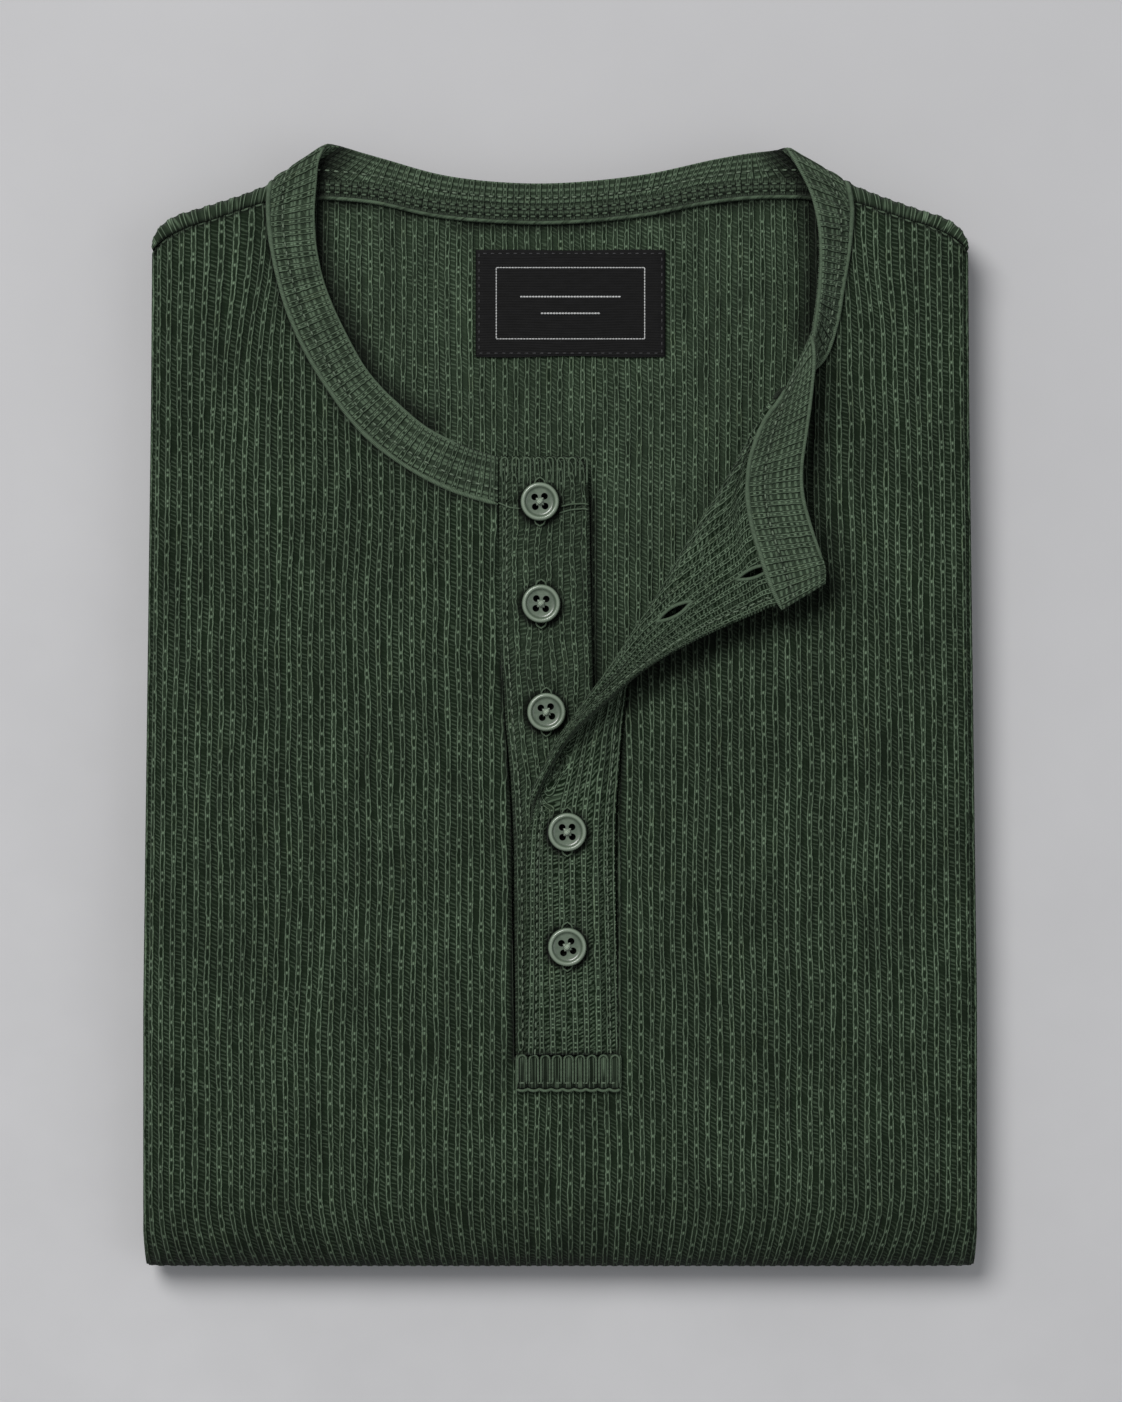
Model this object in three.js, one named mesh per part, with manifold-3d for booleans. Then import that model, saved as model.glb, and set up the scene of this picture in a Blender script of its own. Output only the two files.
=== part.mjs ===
// A long-sleeved henley shirt in heavy ribbed knit, folded and lying on its back half.
// Millimetres. X runs across the shirt, Y from the bottom fold towards the collar, Z up.
// The cloth is a wall with its ribs raised in the outer points over a plain inside.
import * as THREE from 'three';
import { mergeVertices } from 'three/addons/utils/BufferGeometryUtils.js';
import Module from 'manifold-3d';

const wasm = await Module();
wasm.setup();

// Sizes of the folded shirt
const stackHeight = 23.6;
const middle = stackHeight / 2;
const bottomFoldY = -188.3;
const foldAxisY = bottomFoldY + middle;
const hemEndY = 148;
const seamGap = 0.3;

// Cloth
const ribPitch = 3.78;
const ribHeight = 0.8;
const clothWall = 2;
const edgeDrop = 0.8;
const bottomPinch = 0.012;

// Side folds, half as high as the bottom fold, which turns both round
const sideRadius = middle / 2;
const sideTurn = THREE.MathUtils.degToRad(160);
const nominalHalfWidth = 139.2;
const flatHalf = nominalHalfWidth - sideRadius;

// The back panel's level wall under the front
const back = {
  bottom: 18.5, top: 20, halfWidth: 100, lowEnd: -170,
  shoulder: { x: 96, low: 174.6, high: 176.4 },
};

// Turns rows of numbers into rows with named columns
function table(names, rows) {
  const keys = names.split(' ');
  return rows.map((row) => Object.fromEntries(keys.map((key, i) => [key, row[i]])));
}

// Reads one column of a table at a value of another, straight between the rows
function lookUp(rows, from, to, value) {
  const last = rows.length - 1;
  if (value <= rows[0][from]) return rows[0][to];
  for (let i = 1; i <= last; i++) {
    const a = rows[i - 1];
    const b = rows[i];
    if (value <= b[from]) {
      return a[to] + ((b[to] - a[to]) * (value - a[from])) / (b[from] - a[from]);
    }
  }
  return rows[last][to];
}

// Half the folded width, from the bottom fold to the shoulder
const widths = table('y half', [
  [-189, 141], [-100, 140.8], [0, 138.8], [100, 137.3], [154, 137.4],
]);

// Shoulder seam and shoulder outline, by distance from the middle of the shirt
const shoulderSeam = table('x y', [
  [98, 169.8], [109, 166.4], [117.5, 163.5], [124.4, 161.5],
  [131, 158.5], [135.5, 155], [137.6, 152.5],
]);
const shoulderColumns = table('seamX seamY outX outY', [
  [97.9, 170.1, 96.2, 177.5], [103.5, 168.6, 101.5, 175.5], [109, 166.7, 107, 173.3],
  [117.5, 163.8, 116, 170.3], [124.4, 161.8, 123.5, 167.9], [129.5, 159.6, 129.6, 166],
  [133.2, 157.5, 134.2, 163.2], [135.8, 155.2, 137, 159.5], [137, 153.6, 138, 155.5],
]);

// A closed body from shared points and triangles, turned so that its faces point out
function closedBody(points, faces) {
  let volume = 0;
  const cross = new THREE.Vector3();
  for (const [a, b, c] of faces) {
    volume += points[a].dot(cross.crossVectors(points[b], points[c]));
  }
  const order = volume < 0 ? faces.map(([a, b, c]) => [a, c, b]) : faces;
  const geometry = new THREE.BufferGeometry();
  geometry.setAttribute('position', new THREE.Float32BufferAttribute(
    points.flatMap((point) => [point.x, point.y, point.z]), 3));
  geometry.setIndex(order.flat());
  return geometry;
}

// Joins two runs of point numbers with one strip of triangles: in turn where they are
// alike, and otherwise by the shorter of the two ways across each time
function stitch(points, runA, runB, faces) {
  const alike = runA.length === runB.length;
  let i = 0;
  let j = 0;
  while (i < runA.length - 1 || j < runB.length - 1) {
    const onlyA = j === runB.length - 1;
    const onlyB = i === runA.length - 1;
    const wayA = onlyB ? 0 : points[runA[i + 1]].distanceTo(points[runB[j]]);
    const wayB = onlyA ? 0 : points[runA[i]].distanceTo(points[runB[j + 1]]);
    const nextA = alike ? i <= j : wayA <= wayB;
    if (onlyA || (!onlyB && nextA)) {
      faces.push([runA[i], runA[i + 1], runB[j]]);
      i += 1;
    } else {
      faces.push([runA[i], runB[j + 1], runB[j]]);
      j += 1;
    }
  }
}

// A wall between an outer and an inner grid, which share their rows but not their columns
function wallBody(outer, inner) {
  const points = [...outer.flat(), ...inner.flat()];
  const wide = outer[0].length;
  const narrow = inner[0].length;
  const start = outer.length * wide;
  const outerRow = (row) => Array.from({ length: wide }, (_, i) => row * wide + i);
  const innerRow = (row) => Array.from({ length: narrow }, (_, i) => start + row * narrow + i);
  const faces = [];
  for (let row = 1; row < outer.length; row++) {
    stitch(points, outerRow(row - 1), outerRow(row), faces);
    stitch(points, innerRow(row), innerRow(row - 1), faces);
  }
  const last = outer.length - 1;
  stitch(points, innerRow(0), outerRow(0), faces);
  stitch(points, outerRow(last), innerRow(last), faces);
  const column = (pick, at) => outer.map((_, row) => pick(row)[at]);
  stitch(points, column(outerRow, 0), column(innerRow, 0), faces);
  stitch(points, column(innerRow, narrow - 1), column(outerRow, wide - 1), faces);
  return closedBody(points, faces);
}

// A bar through rings of the same number of points, with flat ends
function ringBody(rings) {
  const count = rings[0].length;
  const faces = [];
  for (let ring = 1; ring < rings.length; ring++) {
    for (let i = 0; i < count; i++) {
      const next = (i + 1) % count;
      const a = (ring - 1) * count;
      const b = ring * count;
      faces.push([a + i, a + next, b + next], [a + i, b + next, b + i]);
    }
  }
  const end = (rings.length - 1) * count;
  for (let i = 1; i < count - 1; i++) {
    faces.push([0, i + 1, i], [end, end + i, end + i + 1]);
  }
  return closedBody(rings.flat(), faces);
}

// A flat plate of a plan outline between two levels
function plate(outline, bottom, top) {
  const shape = new THREE.Shape(outline.map(([x, y]) => new THREE.Vector2(x, y)));
  const geometry = new THREE.ExtrudeGeometry(
    shape, { depth: top - bottom, bevelEnabled: false });
  return geometry.translate(0, 0, bottom);
}

function toSolid(geometry) {
  const bare = geometry.clone();
  bare.deleteAttribute('normal');
  bare.deleteAttribute('uv');
  const merged = mergeVertices(bare, 1e-5);
  return new wasm.Manifold(new wasm.Mesh({
    numProp: 3,
    vertProperties: new Float32Array(merged.attributes.position.array),
    triVerts: new Uint32Array(merged.index.array),
  }));
}

function toGeometry(solid) {
  const mesh = solid.getMesh();
  const geometry = new THREE.BufferGeometry();
  geometry.setAttribute('position', new THREE.BufferAttribute(mesh.vertProperties, 3));
  geometry.setIndex(new THREE.BufferAttribute(mesh.triVerts, 1));
  return geometry;
}

// Smooth curve through plan or space points, as a list of evenly spaced points
function smooth(points, count) {
  const curve = new THREE.CatmullRomCurve3(
    points.map(([x, y, z = 0]) => new THREE.Vector3(x, y, z)), false, 'centripetal');
  return curve.getSpacedPoints(count);
}

// Neckband: its neck edge and its seam edge, from the left placket end over the left
// shoulder, across the back with its inside up, over the right shoulder, and down to the
// fold, where it turns over and ends on the opened flap
const bandRows = table('neckX neckY neckZ seamX seamY seamZ', [
  [-20.9, 84.4, 22.5, -20.9, 68.4, 22.2], [-31.5, 87.7, 22.5, -36.5, 73.3, 22.2],
  [-44.6, 94.1, 22.6, -52.7, 81.8, 22.2], [-55.7, 103.3, 22.7, -66.3, 92.6, 22.2],
  [-65, 113.5, 22.8, -76.6, 105.5, 22.3], [-73.3, 128.3, 23, -86.4, 121.7, 22.4],
  [-78.8, 141.2, 23.3, -92.5, 136.5, 22.6], [-81.7, 153.3, 23.8, -96.3, 151.7, 23],
  [-82.6, 165, 24.6, -97.8, 163, 23.6], [-81.9, 176, 25.3, -98, 170, 24.4],
  [-79.9, 184.4, 25.3, -97.4, 174.6, 24.8], [-77.4, 188.2, 23, -95.6, 177.2, 22.6],
  [-75, 187.6, 20.8, -91, 178, 20.2], [-69, 186.8, 20.6, -81, 177.9, 20],
  [-58.5, 184.6, 20.9, -62.5, 176.4, 20], [-40, 179.5, 21.2, -42, 172, 20],
  [-20, 177, 21.3, -20.5, 170, 20], [0, 176.7, 21.3, 0, 169.7, 20],
  [28.5, 179.6, 21.2, 27, 172.1, 20], [51.6, 184.6, 20.9, 47.5, 176, 20],
  [64, 186.8, 20.6, 64, 178, 20], [71, 187.6, 20.6, 82, 178.2, 20],
  [74, 188, 20.8, 91.5, 177.6, 20.2], [75.4, 187.6, 23, 94.8, 176.9, 22.6],
  [78.4, 183.6, 25.6, 96.6, 174.2, 24.8], [83.6, 173.4, 26.8, 97.8, 168.6, 24.2],
  [86.2, 162.6, 28.6, 97.4, 161.2, 23.6], [86.8, 153.2, 30, 96.3, 152, 23.2],
  [86.3, 141.2, 31, 94.2, 140.6, 23.2], [85.3, 132.6, 32, 92, 128.4, 23.6],
  [84.6, 127.6, 32.8, 87.6, 117.2, 24.4], [84.6, 124.4, 33.8, 77.6, 109, 28.6],
  [85.2, 120, 35, 76.2, 106, 33.6], [84.4, 107.2, 35.4, 70.2, 97.4, 34.6],
  [82.6, 92.5, 35.2, 65.6, 85, 34.6], [81, 80.5, 35, 64.4, 76.8, 34.6],
  [81.2, 71.5, 35, 64.4, 70.2, 34.6], [83.2, 63, 34.9, 65.8, 61.2, 34.6],
  [86.4, 53.2, 34.7, 68.8, 51, 34.6], [88.6, 46.6, 34.5, 72, 41.6, 34.6],
  [88.6, 41.4, 34.4, 75.4, 33.4, 34.6],
]);
const bandWall = 2.6;
const bandRibHeight = 0.6;
const bandBackRows = [12, 22];

// Points of the band's edges at half rib steps along its middle line
function bandSections() {
  const seam = new THREE.CatmullRomCurve3(
    bandRows.map((r) => new THREE.Vector3(r.seamX, r.seamY, r.seamZ)), false, 'centripetal');
  const neck = new THREE.CatmullRomCurve3(
    bandRows.map((r) => new THREE.Vector3(r.neckX, r.neckY, r.neckZ)), false, 'centripetal');
  const last = bandRows.length - 1;
  const finePer = 12;
  const fine = [];
  for (let i = 0; i <= last * finePer; i++) {
    const t = i / (last * finePer);
    fine.push({ row: t * last, neck: neck.getPoint(t), seam: seam.getPoint(t) });
  }
  const sections = [fine[0]];
  let travelled = 0;
  for (let i = 1; i < fine.length; i++) {
    const before = fine[i - 1].neck.clone().add(fine[i - 1].seam);
    travelled += fine[i].neck.clone().add(fine[i].seam).distanceTo(before) / 2;
    const onBack = fine[i].row > bandBackRows[0] && fine[i].row < bandBackRows[1];
    const step = onBack ? 2 * ribPitch : ribPitch / 2;
    if (travelled >= step) {
      sections.push(fine[i]);
      travelled = 0;
    }
  }
  sections[sections.length - 1] = fine[fine.length - 1];
  return sections;
}

function neckband() {
  const sections = bandSections();
  const rings = sections.map((section, i) => {
    const before = sections[Math.max(i - 1, 0)];
    const after = sections[Math.min(i + 1, sections.length - 1)];
    const along = after.neck.clone().add(after.seam).sub(before.neck).sub(before.seam);
    const across = section.seam.clone().sub(section.neck).normalize();
    const normal = along.cross(across).normalize();
    const plain = section.row > bandBackRows[0] && section.row < bandBackRows[1];
    const rib = !plain && i % 2 === 1 ? bandRibHeight / 2 : -bandRibHeight / 2;
    const at = (share, lift) => section.neck.clone().lerp(section.seam, share)
      .addScaledVector(normal, lift);
    const half = bandWall / 2;
    return [
      at(0.05, -half), at(0, -half / 3), at(0.01, half / 2 + rib), at(0.12, half + rib),
      at(0.92, half + rib), at(1, half / 2 + rib), at(1, -half),
    ];
  });
  return ringBody(rings);
}

// Left edge and right edge of the button placket, and the shirt's slot beside it
const placketEdges = table('y left right', [
  [-116.6, -15, 12], [-44, -15.5, 12], [-23, -16.6, 12], [-3, -18.6, 11.6],
  [22.8, -20.4, 10.6], [68, -20.6, 9.8], [81.6, -20.6, 8.9], [84, -20.6, 7.6],
  [84.6, -20.6, 5.6],
]);
const placket = { bottom: 20.3, top: 23.1, ribHeight: 0.5, ribs: 8 };

function buttonPlacket() {
  const columns = placket.ribs * 2;
  const outer = placketEdges.map((row, j) => {
    const atEnd = j === 0 || j === placketEdges.length - 1;
    return Array.from({ length: columns + 1 }, (_, i) => {
      const x = row.left + ((row.right - row.left) * i) / columns;
      const edge = i === 0 || i === columns || atEnd;
      const rib = edge ? -0.5 : (i % 2) * placket.ribHeight;
      return new THREE.Vector3(x, row.y, placket.top + rib);
    });
  });
  const inner = placketEdges.map((row) => [
    new THREE.Vector3(row.left, row.y, placket.bottom),
    new THREE.Vector3(row.right, row.y, placket.bottom),
  ]);
  return wallBody(outer, inner);
}

// Buttonhole placket with the front that rolls back with it. A row runs from its seam on
// the front to the roll, turns up through its curl, and ends at the free edge
const flapRows = table('seamX seamY rollX rollY freeX freeY curl radius bow', [
  [19.6, -116.6, -14.4, -116.6, -14.4, -116.6, 0, 1.5, 0],
  [18.9, -80, -13.8, -80, -13.8, -80, 0, 1.5, 0],
  [18.4, -50, -13.4, -50, -13.4, -50, 4, 1.5, 0],
  [18.6, -36, -11.8, -38, -11.8, -38, 30, 1.6, 0],
  [19.8, -18, -9, -29, -5.5, -27, 150, 1.9, 0],
  [21.4, 0, -3.6, -16, 2.5, -10.5, 180, 2.4, 0],
  [23.6, 12, 3.6, -4.6, 14, 1.2, 180, 3, 0],
  [31, 26, 14.5, 10.6, 29.5, 13.4, 180, 3.6, 0],
  [42, 44, 29, 33, 44.5, 22, 180, 4.2, 0.5],
  [56, 66, 43.6, 57, 57, 27.8, 180, 4.6, 1.5],
  [70, 90, 58, 80, 66, 31.6, 180, 4.8, 3.5],
  [80, 105, 66.6, 94.4, 70, 33.4, 180, 4.8, 8],
  [86.4, 113.4, 73.4, 105.2, 73, 34, 180, 4.8, 10.8],
]);
const flap = { wall: 2.4, seamZ: 22.2, lyingZ: 25.1, freeZ: 34.8, climb: 8, points: 16, bendShare: 0.44 };

// Middle line of the cloth on one row of the flap, at even steps
function flapLine(row) {
  const seam = new THREE.Vector2(row.seamX, row.seamY);
  const roll = new THREE.Vector2(row.rollX, row.rollY);
  const free = new THREE.Vector2(row.freeX, row.freeY);
  const toSeam = seam.clone().sub(roll).normalize();
  const chord = free.clone().sub(roll);
  const freeReach = chord.length();
  const side = new THREE.Vector2(chord.y, -chord.x).normalize();
  const bend = roll.clone().addScaledVector(chord, flap.bendShare)
    .addScaledVector(side, 2 * row.bow);
  const toFree = freeReach > 0.5 ? bend.clone().sub(roll).normalize() : toSeam.clone();
  const half = flap.wall / 2;
  const edge = roll.clone().addScaledVector(toFree, half);
  const fine = [];
  const lowSteps = 16;
  const lowEnd = edge.clone().addScaledVector(toSeam, row.radius);
  for (let i = 0; i <= lowSteps; i++) {
    const plan = seam.clone().lerp(lowEnd, i / lowSteps);
    const climbed = THREE.MathUtils.smoothstep(plan.distanceTo(seam), 1.5, flap.climb);
    fine.push([plan.x, plan.y, flap.seamZ + (flap.lyingZ - flap.seamZ) * climbed]);
  }
  const curl = THREE.MathUtils.degToRad(row.curl);
  const curlSteps = 12;
  for (let i = 1; i <= curlSteps; i++) {
    const turn = (curl * i) / curlSteps;
    const reach = row.radius * (1 - Math.sin(turn));
    const plan = edge.clone().addScaledVector(turn < Math.PI / 2 ? toSeam : toFree, reach);
    fine.push([plan.x, plan.y, flap.lyingZ + row.radius * (1 - Math.cos(turn))]);
  }
  if (row.curl === 180) {
    const topZ = flap.lyingZ + 2 * row.radius;
    const freeZ = Math.min(flap.freeZ, topZ + freeReach * 0.35);
    const start = edge.clone().addScaledVector(toFree, row.radius);
    const upper = new THREE.QuadraticBezierCurve(start, bend, free);
    const highSteps = 20;
    for (let i = 1; i <= highSteps; i++) {
      const plan = upper.getPoint(i / highSteps);
      fine.push([plan.x, plan.y, topZ + ((freeZ - topZ) * i) / highSteps]);
    }
  }
  return resample(fine.map(([x, y, z]) => new THREE.Vector3(x, y, z)), flap.points);
}

// A run of straight pieces, cut again into even steps
function resample(points, count) {
  const lengths = [0];
  for (let i = 1; i < points.length; i++) {
    lengths.push(lengths[i - 1] + points[i].distanceTo(points[i - 1]));
  }
  const total = lengths[lengths.length - 1];
  return Array.from({ length: count + 1 }, (_, step) => {
    const wanted = (total * step) / count;
    let i = 1;
    while (i < points.length - 1 && lengths[i] < wanted) i += 1;
    const span = lengths[i] - lengths[i - 1] || 1;
    return points[i - 1].clone().lerp(points[i], (wanted - lengths[i - 1]) / span);
  });
}

function buttonholePlacket() {
  const lines = flapRows.map(flapLine);
  const last = lines.length - 1;
  const offset = (sign) => lines.map((line, j) => line.map((point, i) => {
    const across = line[Math.min(i + 1, line.length - 1)].clone()
      .sub(line[Math.max(i - 1, 0)]);
    const along = lines[Math.min(j + 1, last)][i].clone().sub(lines[Math.max(j - 1, 0)][i]);
    const normal = across.cross(along).normalize();
    return point.clone().addScaledVector(normal, (sign * flap.wall) / 2);
  }));
  return wallBody(offset(1), offset(-1));
}

// Buttonholes on the opened flap: centre, length and direction
const buttonholes = table('x y turn', [[65.3, 45, 23], [38.2, 32.2, 28]]);
const buttonhole = { length: 10, width: 2 };

function cutButtonholes(solid) {
  return buttonholes.reduce((cloth, hole) => {
    const slot = new THREE.BoxGeometry(buttonhole.length, buttonhole.width, 12);
    slot.rotateZ(THREE.MathUtils.degToRad(hole.turn)).translate(hole.x, hole.y, flap.freeZ);
    return cloth.subtract(toSolid(slot));
  }, solid);
}

// Front panel. One point of its cloth: u runs across in millimetres of cloth, a row says
// how far it is along, and depth is how far under the rib tops it lies
function frontPoint(u, row, depth) {
  const reach = Math.abs(u);
  const side = Math.sign(u);
  const drop = row.turn > 90 ? 0 : edgeDrop * Math.min(reach / flatHalf, 1) ** 6;
  let x = Math.min(reach, flatHalf);
  let height = middle - drop - depth;
  if (reach > flatHalf) {
    const turn = (reach - flatHalf) / sideRadius;
    const radius = sideRadius - depth;
    x = flatHalf + radius * Math.sin(turn);
    height = (sideRadius + radius * Math.cos(turn)) * (1 - drop / middle);
  }
  const angle = THREE.MathUtils.degToRad(row.turn);
  const top = lookUp(shoulderSeam, 'x', 'y', x);
  const y = row.turn > 0 ? row.y : foldAxisY + (top - foldAxisY) * row.share;
  const scale = lookUp(widths, 'y', 'half', y) / nominalHalfWidth;
  const pinch = 1 - bottomPinch * Math.sin(angle);
  return new THREE.Vector3(
    side * x * scale * pinch,
    y - height * Math.sin(angle),
    middle + height * Math.cos(angle));
}

// Rows of the front, from the shoulder seam over the face, round the bottom fold and back
// underneath to the hem; ribs says how much of the rib height is left there
const frontRows = [
  { share: 1, turn: 0, ribs: 1 }, { share: 0.8, turn: 0, ribs: 1 },
  { share: 0.52, turn: 0, ribs: 1 }, { share: 0.22, turn: 0, ribs: 1 },
  { share: 0.04, turn: 0, ribs: 1 },
  ...[22, 50, 80, 110, 145].map((turn) => ({
    turn, y: foldAxisY, ribs: turn < 90 ? 1 : 1 - (turn - 90) / 90,
  })),
  { turn: 180, y: foldAxisY, ribs: 0 }, { turn: 180, y: hemEndY, ribs: 0 },
];

function frontPanel() {
  const reach = flatHalf + sideRadius * sideTurn;
  const columns = 2 * Math.round((2 * reach) / ribPitch);
  const outer = frontRows.map((row) => Array.from({ length: columns + 1 }, (_, i) => {
    const valley = i % 2 === 0 ? ribHeight * row.ribs : 0;
    return frontPoint(-reach + (2 * reach * i) / columns, row, valley);
  }));
  const sideSteps = 5;
  const flatSteps = 14;
  const stops = [];
  for (let i = 0; i < sideSteps; i++) stops.push(reach - (reach - flatHalf) * (i / sideSteps));
  for (let i = 0; i <= flatSteps; i++) stops.push(flatHalf - (2 * flatHalf * i) / flatSteps);
  for (let i = sideSteps - 1; i >= 0; i--) stops.push(-stops[i]);
  stops.reverse();
  const inner = frontRows.map((row) => stops.map(
    (u) => frontPoint(u, row, ribHeight + clothWall)));
  return wallBody(outer, inner);
}

// A plan line moved to its left by a gap
function beside(points, gap) {
  return points.map(([x, y], i) => {
    const [x0, y0] = points[Math.max(i - 1, 0)];
    const [x1, y1] = points[Math.min(i + 1, points.length - 1)];
    const length = Math.hypot(x1 - x0, y1 - y0);
    return [x - ((y1 - y0) * gap) / length, y + ((x1 - x0) * gap) / length];
  });
}

// Plan of the neck and placket opening, cut out of the front along its seams
function openingPlan() {
  const leftSeam = bandRows.slice(0, 11).map((r) => [r.seamX, r.seamY]);
  const rightSeam = bandRows.slice(24, 31).map((r) => [r.seamX, r.seamY]);
  const flapSeam = flapRows.map((r) => [r.seamX, r.seamY]).reverse();
  const slotLeft = placketEdges.slice(0, 6).map((r) => [r.left, r.y]);
  const plan = ([points, count]) => smooth(points, count).map((p) => [p.x, p.y]);
  const left = beside([...slotLeft, ...plan([leftSeam, 24]).slice(1)], seamGap);
  const right = [
    ...beside(plan([rightSeam, 20]), 2 * seamGap),
    ...beside(plan([flapSeam, 28]), 4 * seamGap),
  ];
  left[0][1] -= seamGap;
  right[right.length - 1][1] = left[0][1];
  const [leftEnd] = left.at(-1);
  const [rightEnd] = right[0];
  const above = 200;
  return [...left, [leftEnd, above], [rightEnd, above], ...right];
}

function cutFront() {
  const opening = plate(openingPlan(), middle + sideRadius / 2, 2 * stackHeight);
  return toGeometry(toSolid(frontPanel()).subtract(toSolid(opening)));
}

// Back panel: a level wall under the front, and its rolls over the shoulders up to the
// shoulder seams. depth is measured in from the shoulder outline
const rollProfile = table('inward z', [
  [1, 22.9], [0.55, 22.9], [0.22, 21], [0.05, 17.6], [0, 12.6], [0.08, 7.6], [0.35, 4.2],
]);
const rollWall = 1.8;
const rollRibs = 11;

function shoulderRoll(side) {
  const seam = shoulderColumns.map((r) => [side * r.seamX, r.seamY]);
  const out = shoulderColumns.map((r) => [side * r.outX, r.outY]);
  const grid = (columns, raised) => {
    const seamPoints = smooth(seam, columns);
    const outPoints = smooth(out, columns);
    return rollProfile.map((row, j) => seamPoints.map((inner, i) => {
      const outer = outPoints[i];
      const toward = inner.clone().sub(outer);
      const width = toward.length();
      toward.normalize();
      const before = rollProfile[Math.max(j - 1, 0)];
      const after = rollProfile[Math.min(j + 1, rollProfile.length - 1)];
      const slope = new THREE.Vector2(
        (after.inward - before.inward) * width, after.z - before.z).normalize();
      const rib = raised ? (i % 2) * ribHeight * 0.75 : -rollWall;
      const lift = j === 0 && raised ? rib - ribHeight * 0.5 : rib;
      const inward = row.inward * (width - seamGap) + slope.y * lift;
      return new THREE.Vector3(
        outer.x + toward.x * inward, outer.y + toward.y * inward, row.z - slope.x * lift);
    }));
  };
  return wallBody(grid(2 * rollRibs, true), grid(8, false));
}

function backPanel() {
  const edge = bandRows.slice(12, 23).map((r) => [r.seamX, r.seamY - seamGap]);
  const top = smooth(edge, 30).map((p) => [p.x, p.y]);
  const { halfWidth, lowEnd, shoulder } = back;
  const plan = [
    [-halfWidth, lowEnd], [halfWidth, lowEnd], [halfWidth, shoulder.low],
    [shoulder.x, shoulder.high], ...top.reverse(), [-shoulder.x, shoulder.high],
    [-halfWidth, shoulder.low],
  ];
  return toGeometry(toSolid(plate(plan, back.bottom, back.top))
    .add(toSolid(shoulderRoll(1))).add(toSolid(shoulderRoll(-1))));
}

// Hidden layers: one rounded solid, with grooves between the layers at its edges
const coreEdge = table('z inset', [
  [3.1, 8], [4.2, 3.8], [5.7, 1.5], [6.8, 1.8], [7.3, 3.6], [7.8, 1.8], [9.6, 1.6],
  [11, 3.2], [11.8, 5.5], [12.6, 3.2], [14, 1.6], [15, 1.8], [15.5, 3.6], [16, 1.8],
  [17.2, 2.6], [18.2, 6],
]);
const corePlan = table('x y', [
  [0, -180.5], [60, -180.5], [122, -180.5], [131, -178], [135.6, -170], [136.6, -140],
  [135.4, -40], [133.6, 60], [133.3, 146], [131.6, 156], [128, 162], [118, 166], [106, 170],
  [96, 172.6], [60, 173], [0, 173],
]);

function hiddenLayers() {
  const half = corePlan.map((row) => new THREE.Vector2(row.x, row.y));
  const mirrored = half.slice(1, -1).reverse().map((point) => new THREE.Vector2(-point.x, point.y));
  const outline = [...half, ...mirrored];
  const count = outline.length;
  const rings = coreEdge.map((level) => outline.map((point, i) => {
    const along = outline[(i + 1) % count].clone().sub(outline[(i + count - 1) % count]);
    const inward = new THREE.Vector2(-along.y, along.x).normalize();
    return new THREE.Vector3(
      point.x + inward.x * level.inset, point.y + inward.y * level.inset, level.z);
  }));
  return ringBody(rings);
}

// Tape over the back neck seam, with a piped lower edge
const tape = { width: 6, bottom: 20.3, top: 21, piping: 21.7 };

function neckTape() {
  const edge = smooth(
    bandRows.slice(13, 22).map((r) => [r.seamX * 0.99, r.seamY - 2 * seamGap]), 28);
  return ringBody(edge.map((point, i) => {
    const along = edge[Math.min(i + 1, edge.length - 1)].clone()
      .sub(edge[Math.max(i - 1, 0)]).normalize();
    const at = (across, z) => new THREE.Vector3(
      point.x + along.y * across, point.y - along.x * across, z);
    return [
      at(tape.width - 1, tape.bottom), at(0, tape.bottom), at(0, tape.top),
      at(tape.width - 1.8, tape.top),
      at(tape.width - 1.2, tape.piping), at(tape.width - 0.5, tape.piping),
      at(tape.width, tape.top), at(tape.width, tape.bottom),
    ];
  }));
}

// Woven label sewn flat inside the back neck, bare
const label = { centre: [3.5, 136.2], width: 64, height: 36, bottom: 20.3, top: 20.9 };

function neckLabel() {
  const columns = 8;
  const wave = (share) => 0.25 * Math.sin(share * Math.PI * 3);
  const rings = Array.from({ length: columns + 1 }, (_, i) => {
    const share = i / columns;
    const x = label.centre[0] + label.width * (share - 0.5);
    const low = label.centre[1] - label.height / 2 - wave(share);
    const high = label.centre[1] + label.height / 2 + wave(share) / 2;
    return [
      new THREE.Vector3(x, low, label.bottom), new THREE.Vector3(x, high, label.bottom),
      new THREE.Vector3(x, high, label.top), new THREE.Vector3(x, low, label.top),
    ];
  });
  return ringBody(rings);
}

// Box of rib cloth over the lower end of the plackets, with rounded rib tops
const placketBox = { left: -14.7, right: 20.4, top: -117.2, low: -128.6, ribs: 9 };
const boxLevels = { bottom: 23.9, edge: 24.6, valley: 24.9, crest: 25.6 };

function boxPatch() {
  const columns = 2 * placketBox.ribs;
  const rowShares = [0, 0.08, 0.9, 1];
  const outer = rowShares.map((share, j) => Array.from({ length: columns + 1 }, (_, i) => {
    const x = placketBox.left + ((placketBox.right - placketBox.left) * i) / columns;
    const scallop = j === rowShares.length - 1 && i % 2 === 1 ? 0.6 : 0;
    const y = placketBox.top + (placketBox.low - placketBox.top) * share - scallop;
    const edge = j === 0 || j === rowShares.length - 1 || i === 0 || i === columns;
    const level = i % 2 === 1 ? boxLevels.crest : boxLevels.valley;
    return new THREE.Vector3(x, y, edge ? boxLevels.edge : level);
  }));
  const inner = rowShares.map((share, j) => Array.from({ length: columns + 1 }, (_, i) => {
    const point = outer[j][i].clone();
    point.z = boxLevels.bottom;
    return point;
  }));
  return wallBody(outer, inner);
}

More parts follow.
